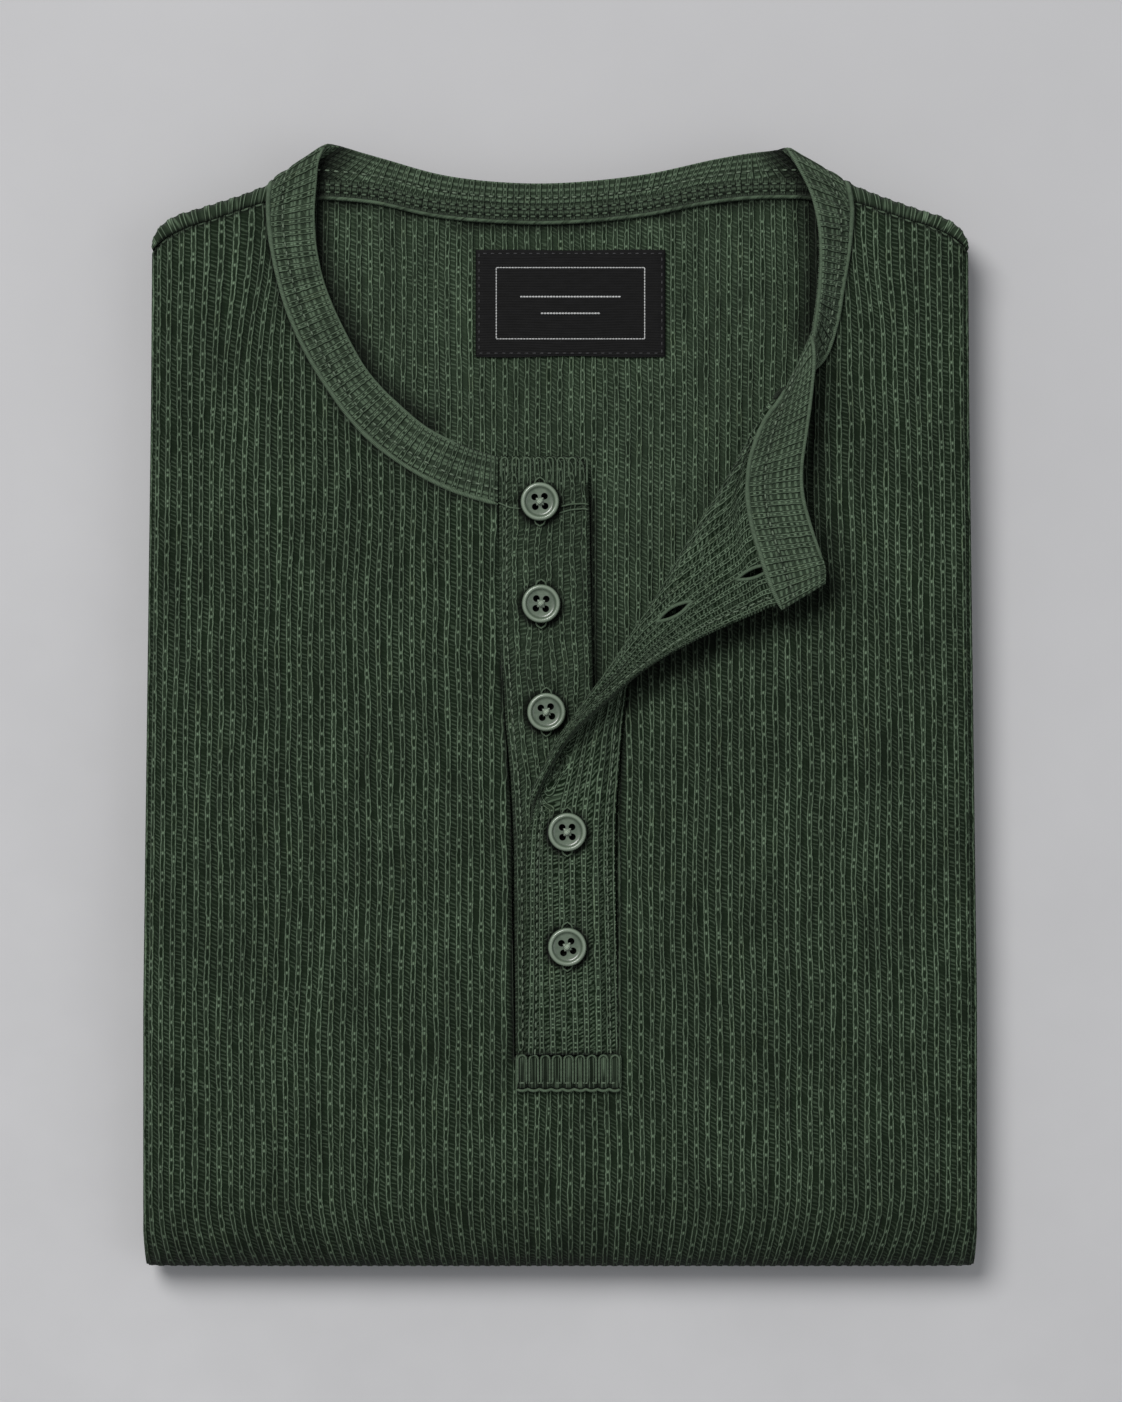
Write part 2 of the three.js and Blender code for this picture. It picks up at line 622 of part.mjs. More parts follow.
// Four-hole buttons with a raised rim round a shallow dish
const button = { radius: 6.5, dish: 4.8, height: 3, floor: 2.1, hole: 1, spread: 1.6 };
const buttonSegments = 20;
const buttonPlaces = table('x y seat', [
  [-6.8, 69.2, 23.9], [-6.4, 34.9, 23.9], [-4.6, -1.5, 23.9],
  [2.4, -41.7, 26.7], [2.4, -80.2, 26.7],
]);

function buttonBody() {
  const profile = [
    [0, 0], [button.radius - 1.2, 0], [button.radius, 1], [button.radius, 2.2],
    [button.radius - 0.7, button.height], [button.dish + 0.4, button.height],
    [button.dish, button.floor], [0, button.floor],
  ].map(([r, z]) => new THREE.Vector2(r, z));
  const disc = new THREE.LatheGeometry(profile, buttonSegments).rotateX(Math.PI / 2);
  let solid = toSolid(disc);
  for (const [x, y] of [[1, 1], [1, -1], [-1, 1], [-1, -1]]) {
    const hole = new THREE.CylinderGeometry(button.hole, button.hole, 12, 8);
    hole.rotateX(Math.PI / 2).translate(x * button.spread, y * button.spread, 0);
    solid = solid.subtract(toSolid(hole));
  }
  return toGeometry(solid);
}

// Colours of the finished pieces
const knitGreen = { color: 0x2c4a33, roughness: 0.95, metalness: 0 };
const tapeGreen = { color: 0x24402b, roughness: 0.9, metalness: 0 };
const labelBlack = { color: 0x151719, roughness: 0.55, metalness: 0 };
const buttonGreen = { color: 0x4d6156, roughness: 0.35, metalness: 0 };

const shirt = new THREE.Group();

function addPiece(name, geometry, look) {
  const mesh = new THREE.Mesh(geometry, new THREE.MeshStandardMaterial(look));
  mesh.name = name;
  shirt.add(mesh);
  return mesh;
}

addPiece('folded_layers', hiddenLayers(), knitGreen);
addPiece('back_panel', backPanel(), knitGreen);
addPiece('front_panel', cutFront(), knitGreen);
addPiece('neckband', neckband(), knitGreen);
addPiece('neck_tape', neckTape(), tapeGreen);
addPiece('neck_label', neckLabel(), labelBlack);
addPiece('button_placket', buttonPlacket(), knitGreen);
addPiece('buttonhole_placket',
  toGeometry(cutButtonholes(toSolid(buttonholePlacket()))), knitGreen);
addPiece('placket_box', boxPatch(), knitGreen);
buttonPlaces.forEach((place, i) => {
  const piece = addPiece(`button_${i + 1}`, buttonBody(), buttonGreen);
  piece.position.set(place.x, place.y, place.seat);
});

// The origin is at the middle of the shirt's box, on the surface that it lies on
const box = new THREE.Box3().setFromObject(shirt);
const centre = box.getCenter(new THREE.Vector3());
shirt.position.set(-centre.x, -centre.y, -box.min.z);

export default shirt;
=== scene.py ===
# Looks of the folded henley shirt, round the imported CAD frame.
# Shapes are worked out in the millimetres of the CAD source and turned into metres last.
import math
from types import SimpleNamespace

import bmesh
import bpy
import numpy as np
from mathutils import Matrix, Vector


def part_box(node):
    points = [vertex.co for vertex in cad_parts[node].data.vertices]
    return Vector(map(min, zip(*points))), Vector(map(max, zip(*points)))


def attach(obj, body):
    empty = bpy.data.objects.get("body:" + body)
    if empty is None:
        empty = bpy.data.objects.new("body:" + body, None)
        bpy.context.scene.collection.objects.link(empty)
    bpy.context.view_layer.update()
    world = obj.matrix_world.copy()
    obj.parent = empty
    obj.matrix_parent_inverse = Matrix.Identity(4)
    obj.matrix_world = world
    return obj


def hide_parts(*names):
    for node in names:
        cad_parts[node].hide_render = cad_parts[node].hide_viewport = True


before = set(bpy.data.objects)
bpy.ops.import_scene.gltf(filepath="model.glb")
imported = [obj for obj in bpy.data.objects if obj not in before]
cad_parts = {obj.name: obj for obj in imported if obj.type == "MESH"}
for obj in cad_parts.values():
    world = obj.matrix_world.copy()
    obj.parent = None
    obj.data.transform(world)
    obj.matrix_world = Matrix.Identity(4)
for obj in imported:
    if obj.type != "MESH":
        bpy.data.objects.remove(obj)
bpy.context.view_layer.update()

MM = 0.001
BUTTON_PLACES = [
    (-6.8, 69.2, 23.9), (-6.4, 34.9, 23.9), (-4.6, -1.5, 23.9),
    (2.4, -41.7, 26.7), (2.4, -80.2, 26.7),
]
first_low, first_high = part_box("button_1")
SHIFT = np.array([
    (first_low.x + first_high.x) / 2 - BUTTON_PLACES[0][0] * MM,
    (first_low.y + first_high.y) / 2 - BUTTON_PLACES[0][1] * MM,
    0.0,
])

# Camera: straight above, at the photograph's framing
GARMENT_TOP = 23.6 * MM
CAMERA_HEIGHT = 1.4
FRAME_HEIGHT = 0.4714
camera_data = bpy.data.cameras.new("camera")
camera = bpy.data.objects.new("camera", camera_data)
bpy.context.scene.collection.objects.link(camera)
camera.location = (0.3 * MM, 1.8 * MM, GARMENT_TOP + CAMERA_HEIGHT)
camera_data.lens = camera_data.sensor_width * CAMERA_HEIGHT / FRAME_HEIGHT
bpy.context.scene.camera = camera

# Sizes shared with the CAD source, in millimetres
STACK = 23.6
MIDDLE = STACK / 2
FOLD_Y = -176.5
HEM_Y = 148.0
PITCH = 3.78
RIB_HEIGHT = 0.8
WALL = 2.0
EDGE_DROP = 0.8
BOTTOM_PINCH = 0.006
FOLD_REACH = 1.09
CORNER_POWER = 0.08
SIDE_RADIUS = MIDDLE / 2
SIDE_TURN = math.radians(160)
NOMINAL_HALF = 139.2
FLAT_HALF = NOMINAL_HALF - SIDE_RADIUS
REACH = FLAT_HALF + SIDE_RADIUS * SIDE_TURN
FRONT_RIBS = 79
FRONT_TOP = 171
BACK_RIBS = 53
BACK_TOP = 180
BACK_FACE_Z, BACK_BASE_Z = 20.05, 18.5
WIDTHS = np.array([
    (-189, 140.9), (-100, 140.9), (0, 139.6), (100, 138.3), (154, 137.9),
])
SHOULDER_SEAM = np.array([
    (98, 169.8), (109, 166.4), (117.5, 163.5), (124.4, 161.5), (131, 158.5),
    (135.5, 155), (137.6, 152.5),
])
SHOULDER_COLUMNS = np.array([
    (97.9, 170.1, 96.2, 177.5), (103.5, 168.6, 101.5, 175.5), (109, 166.7, 107, 173.3),
    (117.5, 163.8, 116, 170.3), (124.4, 161.8, 123.5, 167.9), (129.5, 159.6, 129.6, 166),
    (133.2, 157.5, 134.2, 163.2), (135.8, 155.2, 137, 159.5), (137, 153.6, 138, 155.5),
])
BAND_ROWS = np.array([
    (-20.9, 84.4, 22.5, -20.9, 68.4, 22.2), (-31.5, 87.7, 22.5, -36.5, 73.3, 22.2),
    (-44.6, 94.1, 22.6, -52.7, 81.8, 22.2), (-55.7, 103.3, 22.7, -66.3, 92.6, 22.2),
    (-65, 113.5, 22.8, -76.6, 105.5, 22.3), (-73.3, 128.3, 23, -86.4, 121.7, 22.4),
    (-78.8, 141.2, 23.3, -92.5, 136.5, 22.6), (-81.7, 153.3, 23.8, -96.3, 151.7, 23),
    (-82.6, 165, 24.6, -97.8, 163, 23.6), (-81.9, 176, 25.3, -98, 170, 24.4),
    (-80.9, 183.8, 25.4, -97.4, 174.6, 24.8), (-77.8, 188.6, 23.8, -95.6, 177.2, 22.6),
    (-73.6, 188.9, 21.2, -91, 178, 20.2), (-67.5, 187.2, 20.6, -81, 177.9, 20),
    (-58.5, 184.6, 20.9, -62.5, 176.4, 20), (-40, 179.5, 21.2, -42, 172, 20),
    (-20, 177, 21.3, -20.5, 170, 20), (0, 176.7, 21.3, 0, 169.7, 20),
    (28.5, 179.6, 21.2, 27, 172.1, 20), (51.6, 184.6, 20.9, 47.5, 176, 20),
    (64, 186.8, 20.6, 64, 178, 20), (71, 187.6, 20.6, 82, 178.2, 20),
    (74, 188, 20.8, 91.5, 177.6, 20.2), (75.4, 187.6, 23, 94.8, 176.9, 22.6),
    (78.4, 183.6, 25.6, 96.6, 174.2, 24.8), (83.6, 173.4, 26.8, 97.8, 168.6, 24.2),
    (86.2, 162.6, 28.6, 97.4, 161.2, 23.6), (86.8, 153.2, 30, 96.3, 152, 23.2),
    (86.3, 141.2, 31, 94.2, 140.6, 23.2), (85.3, 132.6, 32, 92, 128.4, 23.6),
    (84.6, 127.6, 32.8, 87.6, 117.2, 24.4), (84.6, 124.4, 33.8, 77.6, 109, 28.6),
    (85.2, 120, 35, 76.2, 106, 33.6), (84.4, 107.2, 35.4, 70.2, 97.4, 34.6),
    (82.6, 92.5, 35.2, 65.6, 85, 34.6), (81, 80.5, 35, 64.4, 76.8, 34.6),
    (81.2, 71.5, 35, 64.4, 70.2, 34.6), (83.2, 63, 34.9, 65.8, 61.2, 34.6),
    (86.4, 53.2, 34.7, 68.8, 51, 34.6), (88.6, 46.6, 34.5, 72, 41.6, 34.6),
    (88.6, 41.4, 34.4, 75.4, 33.4, 34.6),
])
PLACKET_EDGES = np.array([
    (-116.6, -15, 12), (-44, -15.5, 12), (-23, -16.6, 12), (-3, -18.6, 11.6),
    (22.8, -20.4, 10.6), (68, -20.6, 9.8), (81.6, -20.6, 8.9), (84, -20.6, 7.6),
    (84.6, -20.6, 5.6),
])
PLACKET_LOW, PLACKET_TOP = PLACKET_EDGES[[0, -1], 0]
PLACKET_LEFT, PLACKET_WIDTH, PLACKET_RIBS = -20.6, 30.4, 8
PLACKET_FACE_Z, PLACKET_BASE_Z = 23.55, 20.3
# Seam, roll and free edge in plan, then curl in degrees, radius and bow
FLAP_ROWS = np.array([
    (19.6, -116.6, -14.4, -116.6, -14.4, -116.6, 0, 1.5, 0),
    (18.9, -80, -13.8, -80, -13.8, -80, 0, 1.5, 0),
    (18.4, -50, -13.4, -50, -13.4, -50, 4, 1.5, 0),
    (18.6, -36, -11.8, -38, -11.8, -38, 30, 1.6, 0),
    (19.8, -18, -9, -29, -5.5, -27, 150, 1.9, 0),
    (21.4, 0, -3.6, -16, 2.5, -10.5, 180, 2.4, 0),
    (23.6, 12, 3.6, -4.6, 14, 1.2, 180, 3, 0),
    (31, 26, 14.5, 10.6, 29.5, 13.4, 180, 3.6, 0),
    (42, 44, 29, 33, 44.5, 22, 180, 4.2, 0.5),
    (56, 66, 43.6, 57, 57, 27.8, 180, 4.6, 1.5),
    (70, 90, 58, 80, 66, 31.6, 180, 4.8, 3.5),
    (80, 105, 66.6, 94.4, 70, 33.4, 180, 4.8, 8),
    (86.4, 113.4, 73.4, 105.2, 73, 34, 180, 4.8, 10.8),
])
FLAP_WALL = 2.4
FLAP_SEAM_Z, FLAP_LYING_Z, FLAP_FREE_Z = 22.2, 25.1, 34.8
FLAP_CLIMB = 8.0
# Middle and turn of each buttonhole that shows, half its width and length, the level
# over which the flap is its turned-back face, and the one under which it lies flat
BUTTONHOLES = [(65.0, 45.1, 21.0), (38.1, 32.1, 30.0)]
HOLE_HALF, HOLE_REACH = 1.15, 6.2
FLAP_FACE_Z = 31
FLAT_BELOW_Z = 30
ROLL_PROFILE = np.array([
    (1, 22.9), (0.55, 22.9), (0.22, 21), (0.05, 17.6), (0, 12.6), (0.08, 7.6), (0.35, 4.2),
])
CORE_EDGE = np.array([
    (3.1, 8), (4.2, 3.8), (5.7, 1.5), (6.8, 1.8), (7.3, 3.6), (7.8, 1.8), (9.6, 1.6),
    (11, 3.2), (11.8, 5.5), (12.6, 3.2), (14, 1.6), (15, 1.8), (15.5, 3.6), (16, 1.8),
    (17.2, 2.6), (18.2, 6),
])
CORE_PLAN = np.array([
    (0, -180.5), (60, -180.5), (122, -180.5), (131, -178), (135.6, -170), (136.6, -140),
    (135.4, -40), (133.6, 60), (133.3, 146), (131.6, 156), (128, 162), (118, 166),
    (106, 170), (96, 172.6), (60, 173), (0, 173),
])
LABEL = {"x": 3.5, "y": 136.2, "width": 64.0, "height": 36.0, "bottom": 20.3, "top": 20.9}
BOX = {"left": -14.7, "right": 20.4, "top": -116.4, "low": -127.6, "ribs": 9}
BOX_FACE_Z, BOX_BASE_Z = 23.9, 23.75

# Colours of the knit, as they show: the strands, and the ground between and beside them, which is the
# yarn darkened as painted shade of the valleys and holes
STRAND = (98, 117, 95)
GROUND = (7, 21, 6)
YELLOWED = (92, 104, 66)


# Curves and noise

def curve(points, at):
    """Points of a centripetal Catmull-Rom curve, at places counted in its own points."""
    p = np.asarray(points, float)
    last = len(p) - 1
    p = np.vstack([2 * p[0] - p[1], p, 2 * p[-1] - p[-2]])
    at = np.clip(at, 0, last - 1e-9)
    i = at.astype(int)
    w = (at - i)[:, None]
    a, b, c, d = p[i], p[i + 1], p[i + 2], p[i + 3]

    def root(p, q):
        return np.maximum(((p - q) ** 2).sum(1, keepdims=True) ** 0.25, 1e-3)

    ab, bc, cd = root(a, b), root(b, c), root(c, d)
    start = ((b - a) / ab - (c - a) / (ab + bc) + (c - b) / bc) * bc
    end = ((c - b) / bc - (d - b) / (bc + cd) + (d - c) / cd) * bc
    return (b + start * w + (3 * (c - b) - 2 * start - end) * w ** 2
            + (2 * (b - c) + start + end) * w ** 3)


def run_length(points):
    """How far along a line each of its points is."""
    steps = np.linalg.norm(np.diff(points, axis=0), axis=1)
    return np.concatenate([[0], np.cumsum(steps)])


def at_length(points, lengths):
    """Points of a line at lengths along it."""
    run = run_length(points)
    return np.stack([np.interp(lengths, run, points[:, k])
                     for k in range(points.shape[1])], 1)


def spaced(points, count):
    """A line's points at even steps."""
    points = np.asarray(points, float)
    return at_length(points, np.linspace(0, run_length(points)[-1], count + 1))


def smooth(points, count):
    """A curve through points, at even steps."""
    return spaced(curve(points, np.linspace(0, len(points) - 1, 24 * len(points))), count)


def unit(vectors):
    """Vectors made one long."""
    return vectors / np.linalg.norm(vectors, axis=-1, keepdims=True)


def points_at(x, y, z):
    """Points in space from their coordinates, any of which may be one number."""
    return np.stack(np.broadcast_arrays(x, y, z), -1)


def ease(value, low, high):
    """0 up to a low value, 1 from a high one, and smooth between."""
    t = np.clip((value - low) / (high - low), 0, 1)
    return t * t * (3 - 2 * t)


def bell(value, middle, width):
    """1 at a middle value, falling away on both sides."""
    return np.exp(-((value - middle) / width) ** 2)


def lattice_noise(x, y, seed):
    """Smooth noise from -1 to 1 over a plane, the same on every run."""
    grid = np.random.default_rng(seed).uniform(-1, 1, (64, 64))
    ix, iy = np.floor(x).astype(int), np.floor(y).astype(int)
    fx, fy = x - ix, y - iy
    fx, fy = fx * fx * (3 - 2 * fx), fy * fy * (3 - 2 * fy)
    corner = [[grid[(ix + a) % 64, (iy + b) % 64] for b in (0, 1)] for a in (0, 1)]
    near = corner[0][0] * (1 - fy) + corner[0][1] * fy
    far = corner[1][0] * (1 - fy) + corner[1][1] * fy
    return near * (1 - fx) + far * fx


# One rib across: a dark valley, two raised strands and the shallow groove between them
RIB_SHARES = [0, 0.2, 0.33, 0.5, 0.67, 0.8]
RIB_LOWS = [1, 0.78, 0, 0.35, 0, 0.78]


def rib_low(place):
    """How far under its strands the knit lies, from 0 to 1, at a place counted in ribs."""
    return np.interp(place % 1, RIB_SHARES + [1], RIB_LOWS + [1])


def rib_columns(ribs):
    """Places across a number of ribs, and how low the knit lies at each."""
    steps = range(ribs * 6 + 1)
    return (np.array([i // 6 + RIB_SHARES[i % 6] for i in steps]),
            np.array([RIB_LOWS[i % 6] for i in steps]))


# Meshes

def placed(name, data):
    """A new object in the scene."""
    made = bpy.data.objects.new(name, data)
    bpy.context.scene.collection.objects.link(made)
    return made


class Piece:
    """Collects points and faces. Each point carries its place in the knit: ribs across,
    millimetres along, and how much the colour is darkened there, mostly as painted shade."""

    def __init__(self):
        self.points, self.knit, self.quads, self.tris = [], [], [], []
        self.count = 0

    def add(self, points, across=0, along=0, dark=0):
        """Adds points and gives their numbers."""
        shape = points.shape[:-1]
        knit = np.stack(np.broadcast_arrays(
            np.zeros(shape) + across, np.zeros(shape) + along, np.zeros(shape) + dark), -1)
        self.points.append(points.reshape(-1, 3))
        self.knit.append(knit.reshape(-1, 3))
        index = self.count + np.arange(int(np.prod(shape))).reshape(shape)
        self.count += index.size
        return index

    def skin(self, index, around=False, keep=None):
        """Faces over a grid of point numbers. Where two corners are one point the face
        has three, and where both sides are closed up there is none."""
        if around:
            index = np.concatenate([index, index[:, :1]], 1)
        a, b = index[:-1, :-1].ravel(), index[:-1, 1:].ravel()
        c, d = index[1:, 1:].ravel(), index[1:, :-1].ravel()
        faces = np.stack([a, b, c, d], 1)
        if keep is not None:
            faces = faces[keep.ravel()]
            a, b, c, d = faces.T
        left, right = a == d, b == c
        self.quads.append(faces[~left & ~right])
        self.tris.append(faces[left & ~right][:, :3])
        self.tris.append(faces[right & ~left][:, [0, 1, 3]])

    def stitch(self, run_a, at_a, run_b, at_b):
        """One strip of triangles between two runs of point numbers."""
        i = j = 0
        faces = []
        while i < len(run_a) - 1 or j < len(run_b) - 1:
            if j == len(run_b) - 1 or (i < len(run_a) - 1 and at_a[i + 1] <= at_b[j + 1]):
                faces.append((run_a[i], run_a[i + 1], run_b[j]))
                i += 1
            else:
                faces.append((run_a[i], run_b[j + 1], run_b[j]))
                j += 1
        self.tris.append(np.array([f for f in faces if len(set(f)) == 3]))

    def close(self, outer, inner, places=None, keep=None):
        """Faces over two grids and the four strips between their edges. Where the grids
        have different columns, the places of both are given."""
        self.skin(outer, keep=keep)
        self.skin(inner, keep=keep)
        for row in (0, -1):
            if places is None:
                self.skin(np.stack([outer[row], inner[row]]))
            else:
                self.stitch(outer[row], places[0], inner[row], places[1])
        for column in (0, -1):
            self.skin(np.stack([outer[:, column], inner[:, column]], 1))

    def cap(self, ring):
        """Faces from a ring of points to its middle."""
        points = np.concatenate(self.points)[ring]
        knit = np.concatenate(self.knit)[ring].mean(0)
        centre = self.add(points.mean(0, keepdims=True), *knit)[0]
        after = np.roll(ring, -1)
        self.tris.append(np.stack([ring, after, np.full(len(ring), centre)], 1))

    def tube(self, rings, across=0, along=0, dark=0):
        """A closed bar through rings of points."""
        index = self.add(rings, across, along, dark)
        self.skin(index, around=True)
        self.cap(index[0])
        self.cap(index[-1])

    def make(self, name, material):
        """The piece as a smooth object with its faces turned outwards."""
        points = np.concatenate(self.points) * MM + SHIFT
        knit = np.concatenate(self.knit)
        quads = np.concatenate(self.quads)
        tris = [t for t in self.tris if len(t)] or [np.zeros((0, 3), int)]
        tris = np.concatenate(tris)
        used = np.unique(np.concatenate([quads.ravel(), tris.ravel()]))
        number = np.zeros(self.count, int)
        number[used] = np.arange(len(used))
        quads, tris = number[quads], number[tris]
        mesh = bpy.data.meshes.new(name)
        mesh.vertices.add(len(used))
        mesh.vertices.foreach_set("co", points[used].astype(np.float32).ravel())
        mesh.loops.add(quads.size + tris.size)
        mesh.loops.foreach_set("vertex_index", np.concatenate([quads.ravel(), tris.ravel()]))
        sizes = np.concatenate([np.full(len(quads), 4), np.full(len(tris), 3)])
        mesh.polygons.add(len(sizes))
        mesh.polygons.foreach_set("loop_start", np.concatenate([[0], np.cumsum(sizes)[:-1]]))
        place = mesh.attributes.new("knit", "FLOAT_VECTOR", "POINT")
        place.data.foreach_set("vector", knit[used].astype(np.float32).ravel())
        mesh.update(calc_edges=True)
        shell = bmesh.new()
        shell.from_mesh(mesh)
        bmesh.ops.recalc_face_normals(shell, faces=shell.faces)
        for face in shell.faces:
            face.smooth = True
        shell.to_mesh(mesh)
        shell.free()
        mesh.materials.append(material)
        piece = placed(name, mesh)
        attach(piece, "root")
        return piece


# Materials

class Value:
    """What a node gives. Sums, differences and products of values are values too."""

    def __init__(self, shader, socket):
        self.shader = shader
        self.socket = socket

    def __add__(self, other):
        return self.shader.math("ADD", self, other)

    def __sub__(self, other):
        return self.shader.math("SUBTRACT", self, other)

    def __rsub__(self, other):
        return self.shader.math("SUBTRACT", other, self)

    def __mul__(self, other):
        return self.shader.math("MULTIPLY", self, other)

    __radd__ = __add__
    __rmul__ = __mul__


class Shader:
    """Builds one material's nodes from plain calls."""

    def __init__(self, name, **sockets):
        self.material = bpy.data.materials.new(name)
        self.material.use_nodes = True
        self.tree = self.material.node_tree
        self.tree.nodes.clear()
        out = self.tree.nodes.new("ShaderNodeOutputMaterial")
        self.body = self.tree.nodes.new("ShaderNodeBsdfPrincipled")
        self.tree.links.new(self.body.outputs[0], out.inputs[0])
        for key, value in sockets.items():
            self.body.inputs[key.replace("_", " ")].default_value = value

    def put(self, socket, value):
        if isinstance(value, Value):
            self.tree.links.new(value.socket, socket)
        else:
            socket.default_value = value

    def outputs(self, kind, inputs, **settings):
        """Adds a node, fills its inputs by number or name, and gives all its outputs."""
        made = self.tree.nodes.new(kind)
        for key, value in settings.items():
            setattr(made, key, value)
        for key, value in inputs.items():
            self.put(made.inputs[key], value)
        return made.outputs

    def node(self, kind, inputs, output=0, **settings):
        return Value(self, self.outputs(kind, inputs, **settings)[output])

    def math(self, operation, *values):
        return self.node("ShaderNodeMath", dict(enumerate(values)), operation=operation)

    def span(self, value, low, high, start=0.0, end=1.0):
        """start below low, end above high, and smooth between."""
        return self.node("ShaderNodeMapRange", dict(enumerate((value, low, high, start, end))),
                         interpolation_type="SMOOTHSTEP")

    def mix(self, share, a, b, blend="MIX"):
        return self.node("ShaderNodeMix", {0: share, 6: a, 7: b}, 2, data_type="RGBA",
                         blend_type=blend)

    def vector(self, x, y):
        return self.node("ShaderNodeCombineXYZ", {0: x, 1: y})

    def parts(self, vector):
        return [Value(self, socket)
                for socket in self.outputs("ShaderNodeSeparateXYZ", {0: vector})]

    def noise(self, place, scale, detail=2.0):
        return self.node("ShaderNodeTexNoise",
                         {"Vector": place, "Scale": scale, "Detail": detail})

    def random(self, place):
        return self.node("ShaderNodeTexWhiteNoise", {"W": place}, noise_dimensions="1D")

    def cells(self, place, uneven):
        """Distance from the nearest of uneven steps along a line."""
        return self.node("ShaderNodeTexVoronoi",
                         {"W": place, "Scale": 1.0, "Randomness": uneven}, "Distance",
                         voronoi_dimensions="1D")

    def wave(self, place, length):
        return self.math("SINE", place * (2 * math.pi / length))

    def object_place(self):
        return self.node("ShaderNodeTexCoord", {}, "Object")

    def knit_place(self):
        """Ribs across, millimetres along, and how much darker it is, mostly as painted shade."""
        return self.parts(self.node("ShaderNodeAttribute", {}, "Vector", attribute_name="knit"))

    def bump(self, height, distance, strength):
        return self.node("ShaderNodeBump",
                         {"Height": height, "Distance": distance, "Strength": strength})

    def finish(self, colour, **sockets):
        self.put(self.body.inputs["Base Color"], colour)
        for name, value in sockets.items():
            self.put(self.body.inputs[name], value)
        return self.material


def linear(red, green, blue):
    """A colour given as it shows, from 0 to 255, as the shader wants it."""
    return tuple(((c / 255 + 0.055) / 1.055) ** 2.4 if c > 10 else c / 3294.6
                 for c in (red, green, blue)) + (1.0,)


def knit_material(name, links=5.2, link_width=0.1, wobble=0.8, ladder=0.0, rungs=0.0,
                  fill=0.15, valley=0.04, bright=1.0, uneven=0.85, stagger=37.0, ticks=0.25):
    """Heavy rib knit: two thin strands a rib with small holes and cross threads between
    them, and fine ticks in the valleys. links is the mean step of the cross threads,
    link_width their width in steps, uneven how much the steps vary, stagger whether each
    rib has its own, and rungs how far they show in the valleys. ticks is how light the
    ticks are, ladder how much more so on some ribs, fill and valley how light it is between
    the strands and beside them, and wobble how far the ribs wander."""
    s = Shader(name, Roughness=0.9, Sheen_Weight=0.03, Sheen_Roughness=0.5,
               Specular_IOR_Level=0.12)
    across, along, dark = s.knit_place()

    def cloud(place, size, run, scale=1.0, detail=2.0):
        return s.noise(s.vector(place * size, along * run), scale, detail)

    ribs = across + ((cloud(across, 0.5, 0.05, 1.7) - 0.5) * (0.16 * wobble)
                     + (cloud(across, 1.5, 0.55, detail=1.0) - 0.5) * (0.15 * wobble))
    rib = s.math("FLOOR", ribs)
    off = s.math("ABSOLUTE", ribs - rib - 0.5) * 2.0
    beside = s.span(off, 0.5, 0.66)
    chance = s.random(rib)
    fuzz = cloud(across, PITCH, 1.0, 1.5, 3.0)

    # Cross threads at uneven steps, and strands that draw in a little where they are
    step = s.cells(along * (1 / links) + chance * stagger, uneven)
    link = s.span(step, 0.4 * link_width, 1.6 * link_width, 1.0, 0.0)
    centre = s.span(cloud(rib, 3.7, 0.16), 0.35, 0.7, 0.38, 0.29)
    centre = centre - s.span(step, 0.0, 0.35, 1.0, 0.0) * 0.02
    strand = s.span(s.math("ABSOLUTE", off - centre), 0.03, 0.2, 1.0, 0.0)
    strand = strand * s.span(cloud(ribs, 2.3, 0.36), 0.3, 0.62, 0.55, 1.0)
    core = s.span(off, 0.08, 0.3, 1.0, 0.0)
    hole = (1.0 - link) * s.span(cloud(rib, 7.9, 0.12), 0.36, 0.62, 0.25, 1.0)
    height = s.math("MAXIMUM", link * core * 0.8, link * beside * (0.7 * rungs))
    height = s.math("MAXIMUM", strand, height)

    # Ticks slant across each valley and fade out in places
    groove = s.math("FLOOR", ribs + 0.5)
    luck = s.random(groove)
    slant = (ribs - groove) * s.span(luck, 0.2, 0.9, -12.0, -5.0)
    wave = s.math("SINE", along * (2 * math.pi / 1.5) + slant
                  + (luck * 6.0 + cloud(groove, 3.1, 0.5) * 9.0))
    tick = s.span(wave, -0.1, 0.8) * beside * s.span(cloud(groove, 5.3, 0.11), 0.3, 0.54)

    # Strands, holes and valleys over the ground colour, whose dark is painted shade of these recesses
    shown = height * s.span(fuzz, 0.3, 0.65, 0.78, 1.1)
    shown = shown + (core * (fill - hole * (0.8 * fill)) + beside * valley)
    shown = shown + tick * (ticks + s.span(chance, 0.35, 0.45) * (0.3 * ladder))
    colour = s.mix(s.math("MINIMUM", shown, 1.12), linear(*GROUND), linear(*STRAND))

    # Uneven dye: whole ribs, long streaks and a little yellow in places, all darkened by the painted
    # shade carried in the knit attribute
    lit = 1.0 - dark
    light = s.span(cloud(rib, 5.3, 0.035), 0.3, 0.7, 0.84 * bright, 1.16 * bright)
    light = (light + s.span(cloud(across, 0.12, 0.03, detail=3.0), 0.3, 0.7, -0.1, 0.1)) * lit
    grey = s.node("ShaderNodeCombineColor", {0: light, 1: light, 2: light})
    colour = s.mix(1.0, colour, grey, "MULTIPLY")
    yellow = s.span(cloud(rib, 9.1, 0.09), 0.56, 0.72) * lit * 0.2
    colour = s.mix(yellow * strand, colour, linear(*YELLOWED))
    return s.finish(colour, Normal=s.bump(height + (tick * 0.3 + fuzz * 0.3), 0.0007, 0.9))


# The pieces

FOLD_STEPS = 17
SEAM_TUCK = 0.9


